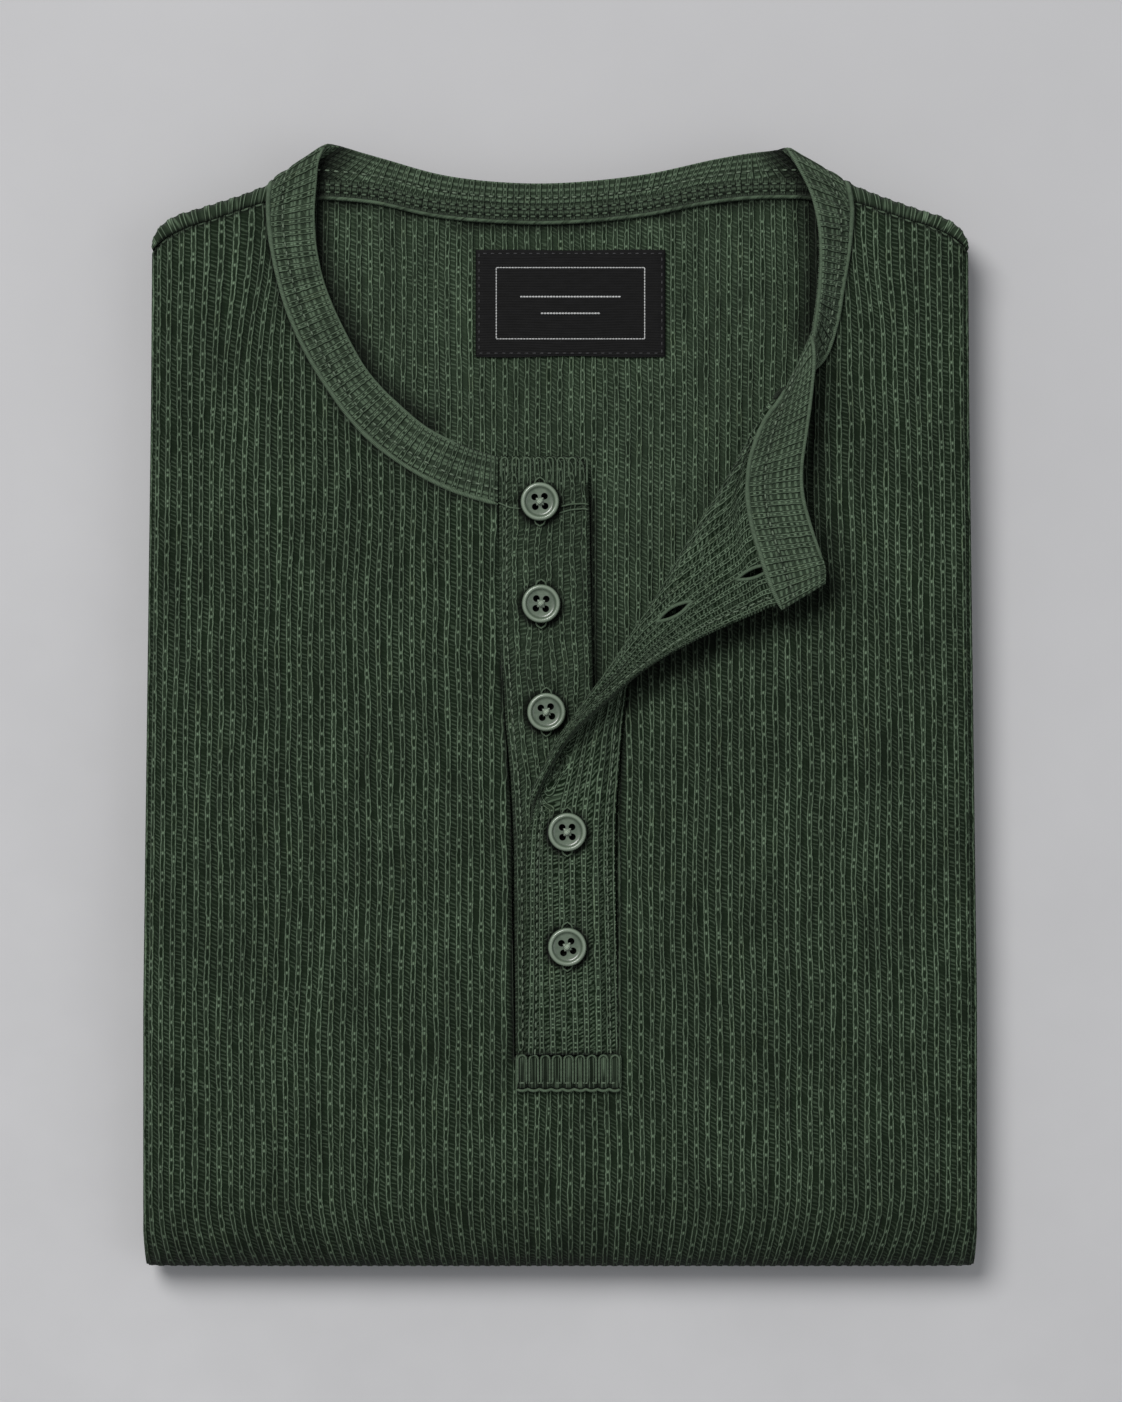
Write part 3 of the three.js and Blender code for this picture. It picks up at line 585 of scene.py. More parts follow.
def away_from(x, y, line, count=160):
    """Distance in plan from a smooth line through points."""
    x, y = np.broadcast_arrays(x, y)
    best = np.full(x.shape, 1e9)
    for px, py in smooth(np.asarray(line, float), count):
        best = np.minimum(best, (x - px) ** 2 + (y - py) ** 2)
    return np.sqrt(best)


def near(x, y, line, full, gone, count=160):
    """One within a first distance of a smooth plan line, and nothing beyond a second."""
    return 1 - ease(away_from(x, y, line, count), full, gone)


def neck_shade(x, y, tape=True):
    """Shade on the back's inside close to the neckband and beside the button placket."""
    left, right = (near(x, y, edge, 0.4, 9) for edge in (BAND_ROWS[2:11, :2], BAND_ROWS[24:32, :2]))
    edge = np.interp(y, PLACKET_EDGES[:, 0], PLACKET_EDGES[:, 2])
    groove = (1 - ease(x - edge, 0.4, 5.6)) * (x > edge - 2) * ease(-y, -78, -70)
    under_tape = tape * near(x, y, tape_line() - [0, 6.4], 0.2, 2.6)
    return 0.8 * np.maximum(np.maximum(left, right), np.maximum(groove, under_tape))


def flap_shade(x, y):
    """Shade on the front under the turned-back flap, and in the grooves by the placket."""
    band = near(x, y, BAND_ROWS[30:39, :2], 0.5, 14)
    free_edge = np.vstack([FLAP_ROWS[4:, 4:6], BAND_ROWS[-1:, 3:5], BAND_ROWS[-1:, :2]])
    shade = np.maximum(0.5 * band, 0.66 * near(x, y, free_edge, 0.5, 15))
    for seam in (BAND_ROWS[:11, 3:5], BAND_ROWS[23:31, 3:5]):
        shade = np.maximum(shade, 0.75 * near(x, y, seam, 0.9, 2.4))
    left, right = opening_edges(y)
    groove = np.maximum(
        (1 - ease(left - x, 0.1, 2.0)) * (x < left + 3) * ease(-y, -30, -8),
        (1 - ease(x - right, -0.2, 1.9)) * (x > right - 3) * ease(-y, -4, 16))
    return np.maximum(shade, 0.75 * groove * (y > -119))


def front_points(across, y, turn, depth):
    """Points of the front's cloth, from the place across, the row and the depth."""
    reach = np.abs(across)
    side = np.sign(across)
    drop = np.where(turn > math.pi / 2, 0, EDGE_DROP * np.minimum(reach / FLAT_HALF, 1) ** 6)
    bend = np.maximum(reach - FLAT_HALF, 0) / SIDE_RADIUS
    radius = SIDE_RADIUS - depth
    curled = reach > FLAT_HALF
    x = np.where(curled, FLAT_HALF + radius * np.sin(bend), reach)
    height = np.where(curled, (SIDE_RADIUS + radius * np.cos(bend)) * (1 - drop / MIDDLE),
                      MIDDLE - drop - depth)
    scale = np.interp(y, WIDTHS[:, 0], WIDTHS[:, 1]) / NOMINAL_HALF
    pinch = 1 - BOTTOM_PINCH * np.sin(turn)
    flat = np.maximum(MIDDLE - depth, 1)
    below = FOLD_REACH * flat * np.clip(height / flat, 0.01, 1) ** CORNER_POWER
    return points_at(side * x * scale * pinch, y - below * np.sin(turn),
                     MIDDLE + height * np.cos(turn))


def opening_edges(y):
    """Left and right edge of the neck and placket opening at each height."""
    left = np.vstack([PLACKET_EDGES[:5, [1, 0]], smooth(BAND_ROWS[:11, 3:5], 40)])
    right = np.vstack([
        [(18.7, -116.9), (18.8, -80), (18.9, -50), (19.1, -36), (20.2, -18), (21.8, 0)],
        smooth(FLAP_ROWS[6:, :2], 30), smooth(BAND_ROWS[30:23:-1, 3:5], 30)])
    return (np.interp(y, left[:, 1], left[:, 0]) - np.interp(y, [-20, 10], [0.7, 0]),
            np.interp(y, right[:, 1], right[:, 0]) + 0.6)


def fanned(across, y):
    """Place across where the ribs lean towards the neck, high beside the neckband."""
    left = 6.0 * bell(across, -105, 14) * ease(y, 112, 166)
    right = 3.2 * bell(across, 106, 14) * ease(y, 118, 166)
    return across + left - right


def drawn_in(across, y, turn):
    """How far the ribs bend towards the middle where they go over the bottom fold."""
    over = np.where(turn > 0, turn, (FOLD_Y - y) / 12)
    size = 6.5 * across / 100 * np.clip(1 - (np.abs(across) / 150) ** 3, 0, 1)
    return size * ease(over, -1.0, 1.5)


def front_tops(across):
    """How far up each column of the front reaches, to the shoulder seam or the opening."""
    y = np.arange(-117.2, 171, 0.2)
    x = front_points(fanned(across[None, :], y[:, None]), y[:, None], 0.0, 0.0)[..., 0]
    left, right = opening_edges(y)
    inside = (x > left[:, None]) & (x < right[:, None])
    cut = np.where(inside.any(0), y[inside.argmax(0)], 999)
    return np.minimum(cut, np.interp(np.abs(x[-1]), *SHOULDER_SEAM.T) + SEAM_TUCK)


def trimmed(index, rows, top):
    """A grid of point numbers in which the rows above each column's top are one point."""
    first = np.maximum((rows >= top[None]).sum(0) - 1, 0)
    rows = np.maximum(np.arange(len(index))[:, None], first[None])
    return np.take_along_axis(index, rows, 0)


def front_cloth():
    """The front, from the shoulders over the face and round the bottom fold to the hem."""
    face = np.concatenate([np.arange(172.2, 148, -0.9), np.arange(148, FOLD_Y, -3.8)])
    fold = np.linspace(0, math.pi, FOLD_STEPS + 1)
    under = np.linspace(FOLD_Y, HEM_Y, 9)[1:]
    row_y = np.concatenate([face, np.full(len(fold), FOLD_Y), under])[:, None]
    turn = np.concatenate([np.zeros(len(face)), fold, np.full(len(under), math.pi)])[:, None]
    along = np.concatenate([FRONT_TOP - face, FRONT_TOP - FOLD_Y + MIDDLE * fold,
                            FRONT_TOP - FOLD_Y + MIDDLE * math.pi + under - FOLD_Y])[:, None]
    ribs_left = 1 - 0.7 * ease(turn, 0.3, 1.5)
    on_face = turn < 0.01
    cloth = Piece()

    def grid(place, low=None):
        """One side of the cloth: the ribbed outer one, or the plain inner one."""
        across = place * (2 * REACH / FRONT_RIBS) - REACH
        calm = 1 - ease(np.abs(across), 118, 138)
        sway = calm * (0.75 * lattice_noise(across[None] / 22, along / 47, 3)
                       + 0.35 * lattice_noise(across[None] / 7, along / 19, 4))
        top = front_tops(across)
        y = np.where(turn > 0, row_y, np.minimum(row_y, top[None]))
        depth = WALL + RIB_HEIGHT if low is None else RIB_HEIGHT * low[None] * ribs_left
        leant = fanned(across[None], np.where(turn > 0, FOLD_Y, y)) \
            - drawn_in(across[None], y, turn)
        points = front_points(leant + sway * ease(top[None] - y, 2, 30), y, turn, depth)

        # The columns beside the placket end right at its edge
        x = points[..., 0]
        edge = opening_edges(y)[0]
        last = np.where(x < edge, x, -999).max(1, keepdims=True)
        beside = (turn == 0) & (np.abs(y + 20) < 97) & (x <= last)
        points[..., 0] = x + np.where(beside, (edge - last) * ease(x, last - 3, last), 0)

        shoulder = (top[None] > 150) * on_face
        level = 0.3 * lattice_noise(across[None] / 38, along / 52, 5) \
            + 0.15 * lattice_noise(across[None] / 14, along / 17, 6)
        points[..., 2] += calm * level * on_face * ease(along, 0, 20)
        points[..., 2] -= 0.9 * shoulder * ease(top[None] - y, 1.4, 0.0)
        # Painted shade: darker towards the bottom fold, where the cloth turns away from the light, and
        # along the sunk shoulder seam; the outer side also takes the painted shade of flap_shade
        dark = (0.34 * ease(-points[..., 1], 150, 186)
                + 0.18 * ease(-points[..., 1], 184, 189)) * (turn < 2)
        dark = np.maximum(dark, 0.7 * shoulder * (1 - ease(top[None] - y, 0.9, 2.2)))
        if low is not None:
            dark = np.maximum(dark, on_face * flap_shade(points[..., 0], points[..., 1]))
        index = cloth.add(points, place[None], np.where(turn > 0, along, FRONT_TOP - y), dark)
        return trimmed(index, row_y[:len(face)], top)

    place, low = rib_columns(FRONT_RIBS)
    inner_place = np.arange(2 * FRONT_RIBS + 1) / 2
    cloth.close(grid(place, low), grid(inner_place), (place, inner_place))
    return cloth


def back_cloth():
    """The back's inside under the front, and its rolls over the shoulders."""
    cloth = Piece()
    edge = np.vstack([[(-100, 174.6), (-96, 176.4)], smooth(BAND_ROWS[12:23, 3:5], 60),
                      [(96, 176.4), (100, 174.6)]])
    place, low = rib_columns(BACK_RIBS)
    x = (place - BACK_RIBS / 2) * PITCH
    top = np.interp(x, edge[:, 0], edge[:, 1]) + np.interp(np.abs(x), [86, 92], [2.2, -0.3])
    row_y = np.concatenate([np.arange(181, -60, -3.6), np.arange(-60, -171, -22)])[:, None]
    y = np.minimum(row_y, top[None])
    run = BACK_TOP - y
    swayed = x[None] + 0.5 * lattice_noise(x[None] / 19, run / 41, 8)
    z = BACK_FACE_Z + 0.15 * lattice_noise(x[None] / 30, run / 40, 9) - 0.55 * low[None]
    inner = cloth.add(np.stack([swayed, y, z], -1), place[None], run, neck_shade(swayed, y))
    plain = points_at(x[None, ::6], y[:, ::6], BACK_BASE_Z)
    lower = cloth.add(plain, place[None, ::6], run[:, ::6])
    cloth.close(trimmed(inner, row_y, top), trimmed(lower, row_y, top[::6]),
                (place, place[::6]))

    for side in (1, -1):
        shoulder_roll(cloth, side)
        # Hidden cord of cloth that closes the corner between roll and neckband
        thread(cloth, [(98.5 * side, 175.6, 20.3), (93 * side, 176.4, 20.9),
                       (85 * side, 177.3, 21.4)], 1.7, count=12)
    return cloth


def shoulder_roll(cloth, side):
    """The strip of the back that rolls over one shoulder, up to its seam."""
    ribs, dense = 11, 400
    roll = curve(ROLL_PROFILE, np.linspace(0, 6, 19))
    place, low = rib_columns(ribs)
    pick = np.round(place / ribs * dense).astype(int)
    seam = smooth(SHOULDER_COLUMNS[:, :2] * [side, 1], dense)[pick]
    out = smooth(SHOULDER_COLUMNS[:, 2:] * [side, 1], dense)[pick] * [0.998, 1]
    out[:, 1] += (-0.5 if side > 0 else 0.2) * ease(np.abs(out[:, 0]), 100, 128)
    width = np.linalg.norm(seam - out, axis=1)
    toward = unit(seam - out)
    slope = np.gradient(roll, axis=0)
    slope_x = slope[:, :1] * width[None]
    size = np.hypot(slope_x, slope[:, 1:])
    run = run_length(roll * [8, 1])
    knit_run = 0.1 * np.minimum(run, 10) + np.maximum(run - 10, 0)
    # Painted shade along the roll's tucked seam edge
    dark = 0.6 * (1 - ease(run, 0.6, 1.8))

    def grid(lift):
        inward = roll[:, :1] * (width[None] - 0.3) + slope[:, 1:] / size * lift
        points = np.dstack([out[None] + toward[None] * inward[..., None],
                            roll[:, 1:] - slope_x / size * lift])
        return cloth.add(points, place[None] + 60 * (side + 2), knit_run[:, None],
                         dark[:, None])

    tucked = 0.5 * (np.arange(len(roll)) == 0)[:, None]
    cloth.close(grid(0.15 + 0.4 * (1 - low[None]) - tucked), grid(-1.8))


def folded_layers():
    """The back half and the sleeves inside it, as one body with grooves at its edges."""
    cloth = Piece()
    outline = np.vstack([CORE_PLAN, CORE_PLAN[-2::-1] * [-1, 1]])
    outline = spaced(outline, 360)[:-1]
    ahead = np.roll(outline, -3, 0) - np.roll(outline, 3, 0)
    inward = unit(np.stack([-ahead[:, 1], ahead[:, 0]], 1))
    z, inset = spaced(CORE_EDGE, 44).T[..., None]
    inset = inset + 0.35 * lattice_noise(np.arange(len(outline))[None] / 14, z / 2.2, 12)
    rings = np.dstack([outline[None] + inward[None] * inset[..., None],
                       np.broadcast_to(z, inset.shape)])
    run = run_length(np.vstack([outline, outline[:1]]))[:-1]
    cloth.tube(rings, run[None] / PITCH, z)
    return cloth


def band_sections():
    """The neckband at sixths of a rib: its edges, the direction that its face turns, and
    how far the section is on the flap, where the band's seam edge lies a little wider."""
    last = len(BAND_ROWS) - 1
    at = np.linspace(0, last, last * 40 + 1)
    run = run_length((curve(BAND_ROWS[:, :3], at) + curve(BAND_ROWS[:, 3:], at)) / 2)
    ribs = int(run[-1] / PITCH)
    steps = rib_columns(ribs)[0]
    lengths = steps * run[-1] / ribs
    row = np.interp(lengths, run, at)
    neck, seam = curve(BAND_ROWS[:, :3], row), curve(BAND_ROWS[:, 3:], row)
    normal = unit(np.cross(np.gradient(neck + seam, axis=0), seam - neck))
    on_flap = ease(row, 30.6, 31.6)
    return SimpleNamespace(steps=steps, lengths=lengths, row=row, neck=neck, seam=seam,
                           normal=normal, on_flap=on_flap,
                           wide=(seam - neck) * (1 + 0.11 * on_flap[:, None]))


BAND = band_sections()
BAND_UP = np.where(BAND.normal[:, 2:] < 0, -1.0, 1.0) * BAND.normal


# Share of the band from its neck edge, height over its middle, and share of rib height
BAND_OUTLINE = np.array([
    (0.0, -0.2, 0.1), (0.004, 0.6, 0.2), (0.03, 1.3, 0.4), (0.08, 1.65, 0.7), (0.16, 1.55, 1),
    (0.3, 1.32, 1), (0.45, 1.3, 1), (0.58, 1.25, 1), (0.65, 1.05, 0.6), (0.69, 0.8, 0.2),
    (0.73, 1.05, 0.6), (0.8, 1.35, 1), (0.88, 1.4, 1), (0.94, 1.25, 0.8), (0.985, 0.8, 0.5),
    (1.0, 0.2, 0.2), (1.0, -0.7, 0.2), (0.97, -1.15, 0.5), (0.88, -1.3, 1), (0.76, -1.2, 0.6),
    (0.72, -0.95, 0.2), (0.68, -1.2, 0.6), (0.5, -1.3, 1), (0.3, -1.3, 1), (0.14, -1.25, 1),
    (0.05, -0.95, 0.7), (0.01, -0.6, 0.3),
])


def neckband_cloth():
    """The doubled band of rib, from one placket round the neck to the turned-back flap."""
    cloth = Piece()
    share, lift, ribbed = BAND_OUTLINE.T
    raised = lift - np.sign(lift) * 0.5 * rib_low(BAND.steps)[:, None] * ribbed \
        + 0.15 * lattice_noise(BAND.lengths / 23, BAND.lengths * 0, 14)[:, None]
    rings = (BAND.neck[:, None] + BAND.wide[:, None] * share[:, None]
             + BAND.normal[:, None] * raised[..., None])
    rings[..., 2] += 0.9 * BAND.on_flap[:, None] * ease(share, 0.55, 0.95)
    for row, side, size in ((10.6, -1, 0.3), (23.6, 1, 0.5)):
        round_off = size * bell(BAND.row, row, 0.85)[:, None] * np.sin(math.pi * share)
        rings[..., 0] += side * 0.54 * round_off
        rings[..., 1] += 0.84 * round_off
    x, y = rings[..., 0], rings[..., 1]
    # Painted shade in the groove along the band's stitch line, and on the back part sheltered under
    # the band's folded corners
    corner = np.maximum(near(x, y, BAND_ROWS[8:12, :2], 1, 14, 60),
                        near(x, y, BAND_ROWS[23:27, :2], 1, 14, 60))
    behind = ((BAND.row > 11.8) & (BAND.row < 22.6))[:, None]
    run = share * np.linalg.norm(BAND.wide, axis=1)[:, None] + np.where(lift < 0, 40, 0)
    cloth.tube(rings, BAND.steps[:, None], run,
               np.maximum(0.5 * bell(share, 0.7, 0.03), 0.88 * behind * corner))
    return cloth


def tape_line():
    """Plan line of the tape's upper edge, just below the band's seam."""
    line = BAND_ROWS[13:22, 3:5] * [0.99, 1] - [0, 0.6]
    return smooth(np.vstack([line[0] - [4, 0.4], line, line[-1] + [4.5, -0.5]]), 260)


def beside_line(line, offset, z):
    """Points in space to the right of a plan line, at a distance and a level."""
    along = unit(np.gradient(line, axis=0))
    right = np.stack([along[:, 1], -along[:, 0]], 1)
    return np.c_[line + right * offset, np.full(len(line), z)]


# How far below the band's seam, and the level there; the last five are the piped edge
TAPE_OUTLINE = np.array([
    (5.2, 20.2), (-0.7, 20.2), (-0.7, 20.85), (0.2, 21.05), (0.9, 21.05), (1.2, 20.85),
    (1.5, 21.05), (2.6, 21.1), (3.3, 21.05), (3.6, 20.85), (4.2, 21.05), (4.9, 21.1),
    (5.1, 21.65), (5.55, 21.9), (6.0, 21.65), (6.25, 21.2), (6.25, 20.5),
])
TAPE_SEAMS = (1.2, 3.6)
# The piped edge keeps one place in the knit, on a strand, and so one colour
TAPE_EDGE_PLACE = 34.66


def tape_cloth():
    """The tape over the back neck seam, with two sunk rows of stitches and a piped edge."""
    cloth = Piece()
    line = tape_line()
    rings = np.stack([beside_line(line, offset, z) for offset, z in TAPE_OUTLINE], 1)
    run = run_length(line)[:, None]
    place = TAPE_OUTLINE[:, 0]
    # Painted shade in the sunk stitch rows, at the foot of the piped edge and near the neckband's
    # corners, on a tape a quarter darker all over
    dark = 0.25 + 0.4 * bell(place, 4.9, 0.2) + sum(0.7 * bell(place, at, 0.4) for at in TAPE_SEAMS)
    dark = np.maximum(dark[None], neck_shade(rings[..., 0], rings[..., 1] + 0.3, False))
    piped = place[None] > 5
    cloth.tube(rings, np.where(piped, TAPE_EDGE_PLACE, run / PITCH), place[None] + run * piped, dark)
    return cloth


def on_base(face, level):
    """Rings of a flat piece: its face, and the face's two edges again on its base."""
    base = face[:, [-1, 0]].copy()
    base[..., 2] = level
    return np.concatenate([face, base], 1)


def label_cloth():
    """The label, slightly wavy, with its edges turned down and sunk at their stitches."""
    cloth = Piece()
    share = np.linspace(0, 1, 91)[:, None]
    up = np.array([[0, 0.004, 0.012, 0.03, 0.08, 0.2, 0.35, 0.5, 0.65, 0.8, 0.92, 0.97,
                    0.988, 0.996, 1]])
    wave = 0.25 * np.sin(share * math.pi * 3)
    x = LABEL["x"] + LABEL["width"] * (share - 0.5)
    low = LABEL["y"] - LABEL["height"] / 2 - wave
    high = LABEL["y"] + LABEL["height"] / 2 + wave / 2
    edge = np.minimum(np.minimum(up, 1 - up) * LABEL["height"],
                      np.minimum(share, 1 - share) * LABEL["width"])
    z = LABEL["top"] - 0.25 * (1 - ease(edge, 0, 0.7)) - 0.12 * bell(edge, 1.2, 0.35) \
        + 0.12 * lattice_noise(share * 6, up * 4, 15) * ease(edge, 1, 6)
    face = points_at(x, low + (high - low) * up, z)
    cloth.tube(on_base(face, LABEL["bottom"]), np.append(up, [1, 0])[None] * LABEL["height"],
               share * LABEL["width"])
    return cloth


def button_shade(points):
    """Painted shadow on the cloth round each button: how much it is darkened."""
    shade = 0
    for x, y, seat in BUTTON_PLACES:
        away = np.hypot(points[..., 0] - x, points[..., 1] + 0.4 - y)
        shade = np.maximum(shade, 0.95 * (1 - ease(away, 6.5, 9.0)))
    return shade


def placket_cloth():
    """The button placket, uneven between its stitches, with the neck seam across it."""
    cloth = Piece()
    y = np.concatenate([np.arange(PLACKET_LOW, 80, 1.0), [80, 82, 83.2, 84, 84.4, 84.6]])[:, None]
    left, right = (np.interp(y, PLACKET_EDGES[:, 0], edge) for edge in PLACKET_EDGES.T[1:])
    place, low = rib_columns(PLACKET_RIBS)
    share = place[None] / PLACKET_RIBS
    x = left + (right - left) * share
    inset = (right - left) * np.minimum(share, 1 - share)
    rim = np.minimum(inset, np.minimum(y - PLACKET_LOW, PLACKET_TOP - y))
    sewn = ease(y, -5, 25) * (share < 0.5)
    calm = ease(rim, 0.5, 4)
    z = PLACKET_FACE_Z - 0.5 * low[None] - (1.0 - 0.85 * sewn) * (1 - ease(rim, -0.6, 1.2)) \
        - 0.35 * bell(inset, 2.6, 0.5) + 0.2 * lattice_noise(x / 17, y / 31, 17) \
        + calm * 0.3 * lattice_noise(x / 8, y / 2.6, 18)
    x = x + calm * 0.7 * lattice_noise(x / 9, y / 13, 19)
    seam_line = bell(y, np.interp(x, [-21, 10], [69.0, 67.0]), 0.8)
    face = points_at(x, y, z - 0.8 * seam_line)
    # Painted shade in the sunk stitch groove and along the neck seam, and the painted shadow round
    # each button
    dark = np.maximum(0.3 * bell(inset, 2.6, 0.4) + 0.4 * seam_line, button_shade(face))
    cloth.tube(on_base(face, PLACKET_BASE_Z), np.append(place, [PLACKET_RIBS, 0])[None], y,
               np.pad(dark, ((0, 0), (0, 2))))
    return cloth


def flap_line(row, count):
    """Middle line of the cloth on one row of the flap, at even steps."""
    seam, roll, free = row[0:2], row[2:4], row[4:6]
    curl, radius, bow = math.radians(row[6]), row[7], row[8]
    to_seam = (seam - roll) / np.linalg.norm(seam - roll)
    chord = free - roll
    reach = np.linalg.norm(chord)
    to_free, bend = to_seam, roll
    if reach > 0.5:
        side = np.array([chord[1], -chord[0]]) / reach
        bend = roll + chord * 0.44 + side * 2 * bow
        to_free = (bend - roll) / np.linalg.norm(bend - roll)
    edge = roll + to_free * FLAP_WALL / 2
    low_end = edge + to_seam * radius
    t = np.linspace(0, 1, 33)[:, None]
    plan = seam + (low_end - seam) * t
    climb = ease(np.linalg.norm(plan - seam, axis=1), 1.5, FLAP_CLIMB)
    parts = [np.c_[plan, FLAP_SEAM_Z + (FLAP_LYING_Z - FLAP_SEAM_Z) * climb]]
    if curl > 0:
        turn = np.linspace(0, curl, 25)[1:]
        way = np.where((turn < math.pi / 2)[:, None], to_seam, to_free)
        plan = edge + way * (radius * (1 - np.sin(turn)))[:, None]
        parts.append(np.c_[plan, FLAP_LYING_Z + radius * (1 - np.cos(turn))])
    if row[6] == 180:
        top = FLAP_LYING_Z + 2 * radius
        free_z = min(FLAP_FREE_Z, top + reach * 0.35)
        start = edge + to_free * radius
        t = np.linspace(0, 1, 41)[1:, None]
        plan = (1 - t) ** 2 * start + 2 * t * (1 - t) * bend + t ** 2 * free
        parts.append(np.c_[plan, top + (free_z - top) * t[:, 0]])
    return spaced(np.vstack(parts), count)


def flap_surface(columns=150, step=1.15):
    """The flap's middle surface, how far each point is from the free edge, and how far
    each row is along."""
    lines = np.stack([flap_line(row, columns) for row in FLAP_ROWS])
    rough = run_length(lines[:, columns * 2 // 3])
    at = np.interp(np.arange(0, rough[-1], step), rough, np.arange(len(lines)))
    at = np.append(at, len(lines) - 1)
    grid = np.stack([curve(lines[:, i], at) for i in range(columns + 1)], 1)
    tail = unit(grid[-1] - grid[-3])
    grid = np.concatenate([grid, [grid[-1] + tail * reach - [0, 0, 0.25 * reach]
                                  for reach in (0.8, 1.6, 2.4)]])
    steps = np.linalg.norm(np.diff(grid, axis=1), axis=2)
    from_free = np.concatenate([np.cumsum(steps[:, ::-1], 1)[:, ::-1],
                                np.zeros((len(grid), 1))], 1)
    along = run_length(grid[:, columns * 3 // 4])
    normal = unit(np.cross(np.gradient(grid, axis=1), np.gradient(grid, axis=0)))
    row = np.append(at, [at[-1]] * 3)
    return grid, normal, from_free, along, row


def flap_ribs(from_free, row):
    """Place in the knit over the flap, in ribs from its free edge. On the part turned back
    the ribs fan out towards the band, and on the part lying flat they follow the seam."""
    reach = np.linalg.norm(FLAP_ROWS[:, 4:6] - FLAP_ROWS[:, 2:4], axis=1)
    back = np.interp(row, np.arange(len(reach)), reach)[:, None]
    fan = (reach.max() / np.maximum(back, 10)) ** 0.4
    back = back + 2 * ease(back, 0, 2)
    spread = np.minimum(from_free, back) * fan + np.maximum(from_free - back, 0)
    total = from_free[:, :1]
    straight = total[0, 0] - (total - from_free)
    share = ease(from_free - back, 1, 7) * (1 - ease(row, 7, 8.5))[:, None]
    return (spread + (straight - spread) * share) / PITCH


def hole_width(along):
    """Half the width of a buttonhole at a distance from its middle."""
    return HOLE_HALF * np.clip(1 - (along / HOLE_REACH) ** 2, 0, 1)


def turned(x, y, degrees):
    """Plan coordinates turned anticlockwise."""
    c, s = math.cos(math.radians(degrees)), math.sin(math.radians(degrees))
    return x * c - y * s, x * s + y * c


def hole_mask(points):
    """Which points lie in a buttonhole, a lens along the ribs of the flap."""
    inside = np.zeros(points.shape[:-1], bool)
    for x, y, turn in BUTTONHOLES:
        a, b = turned(points[..., 0] - x, points[..., 1] - y, -turn)
        inside |= (np.abs(b) < hole_width(a)) & (points[..., 2] > FLAP_FACE_Z)
    return inside


def fit_to_hole(grid, hole):
    """Moves the points round each removed patch onto the edge of its lens."""
    padded = np.pad(hole, 1)
    corners = np.stack([padded[:-1, :-1], padded[1:, :-1], padded[:-1, 1:], padded[1:, 1:]])
    rim = corners.any(0) & ~corners.all(0)
    for x, y, turn in BUTTONHOLES:
        a, b = turned(grid[..., 0] - x, grid[..., 1] - y, -turn)
        near_hole = rim & (np.abs(a) < 7) & (np.abs(b) < 4)
        fitted = turned(a, np.where(b < 0, -1, 1) * hole_width(a), turn)
        for axis, middle in enumerate((x, y)):
            grid[..., axis] = np.where(near_hole, middle + fitted[axis], grid[..., axis])


def flap_cloth():
    """The buttonhole placket with the front that rolls back with it, and its surface."""
    cloth = Piece()
    grid, normal, from_free, along, row = flap_surface()
    ribs = flap_ribs(from_free, row)
    to_seam = from_free[:, :1] - from_free
    half = FLAP_WALL / 2 * np.sqrt(1 - (1 - np.clip(from_free / 1.2, 0.12, 1)) ** 2)
    half = half + 0.3 * bell(from_free, 1.7, 0.8) - 0.3 * bell(from_free, 3.3, 0.4) \
        - 0.25 * bell(to_seam, 3.0, 0.5) - 0.45 * rib_low(ribs) * ease(from_free, 2.5, 5)
    half = np.maximum(half, 0.3)
    # Painted shade in the sunk stitch lines, the painted shadow round the buttons where the flap lies
    # flat, and a painted shadow just above the box
    stitch_groove_shade = 0.35 * bell(from_free, 3.3, 0.35) + 0.25 * bell(to_seam, 3.0, 0.4)
    above_box = 0.85 * (1 - ease(grid[..., 1] - BOX["top"], 0.3, 1.3))
    dark = np.maximum.reduce([stitch_groove_shade, button_shade(grid) * (grid[..., 2] < FLAT_BELOW_Z), above_box])
    hole = hole_mask((grid[:-1, :-1] + grid[1:, 1:]) / 2)
    fit_to_hole(grid, hole)
    uneven = 0.25 * lattice_noise(from_free / 13, along[:, None] / 17, 21)
    middle = grid + normal * uneven[..., None]
    upper = cloth.add(middle + normal * half[..., None], ribs, along[:, None], dark)
    lower = cloth.add(middle - normal * half[..., None], ribs + 40, along[:, None], dark)
    cloth.close(upper, lower, keep=~hole)
    rim = []
    padded = np.pad(hole, 1)
    for r, c in zip(*np.nonzero(hole)):
        for dr, dc, a, b in ((-1, 0, (r, c), (r, c + 1)), (1, 0, (r + 1, c), (r + 1, c + 1)),
                             (0, -1, (r, c), (r + 1, c)), (0, 1, (r, c + 1), (r + 1, c + 1))):
            if not padded[r + 1 + dr, c + 1 + dc]:
                rim.append((upper[a], upper[b], lower[b], lower[a]))
    cloth.quads.append(np.array(rim))
    return cloth, SimpleNamespace(middle=middle, normal=normal, half=half,
                                  from_free=from_free, to_seam=to_seam)


# Share of the box from its top edge, how far the cloth is lifted there, and its ribs' crests
BOX_PROFILE = np.array([
    (0, 0, 0), (0.03, 0.5, 0.2), (0.08, 0.75, 0.6), (0.16, 0.85, 0.9), (0.3, 0.95, 1),
    (0.45, 1, 1), (0.6, 1, 1), (0.72, 0.9, 0.8), (0.78, 0.55, 0.4), (0.84, 0.75, 0.8),
    (0.9, 0.9, 1), (0.96, 0.6, 0.8), (1, 0, 0.3),
])


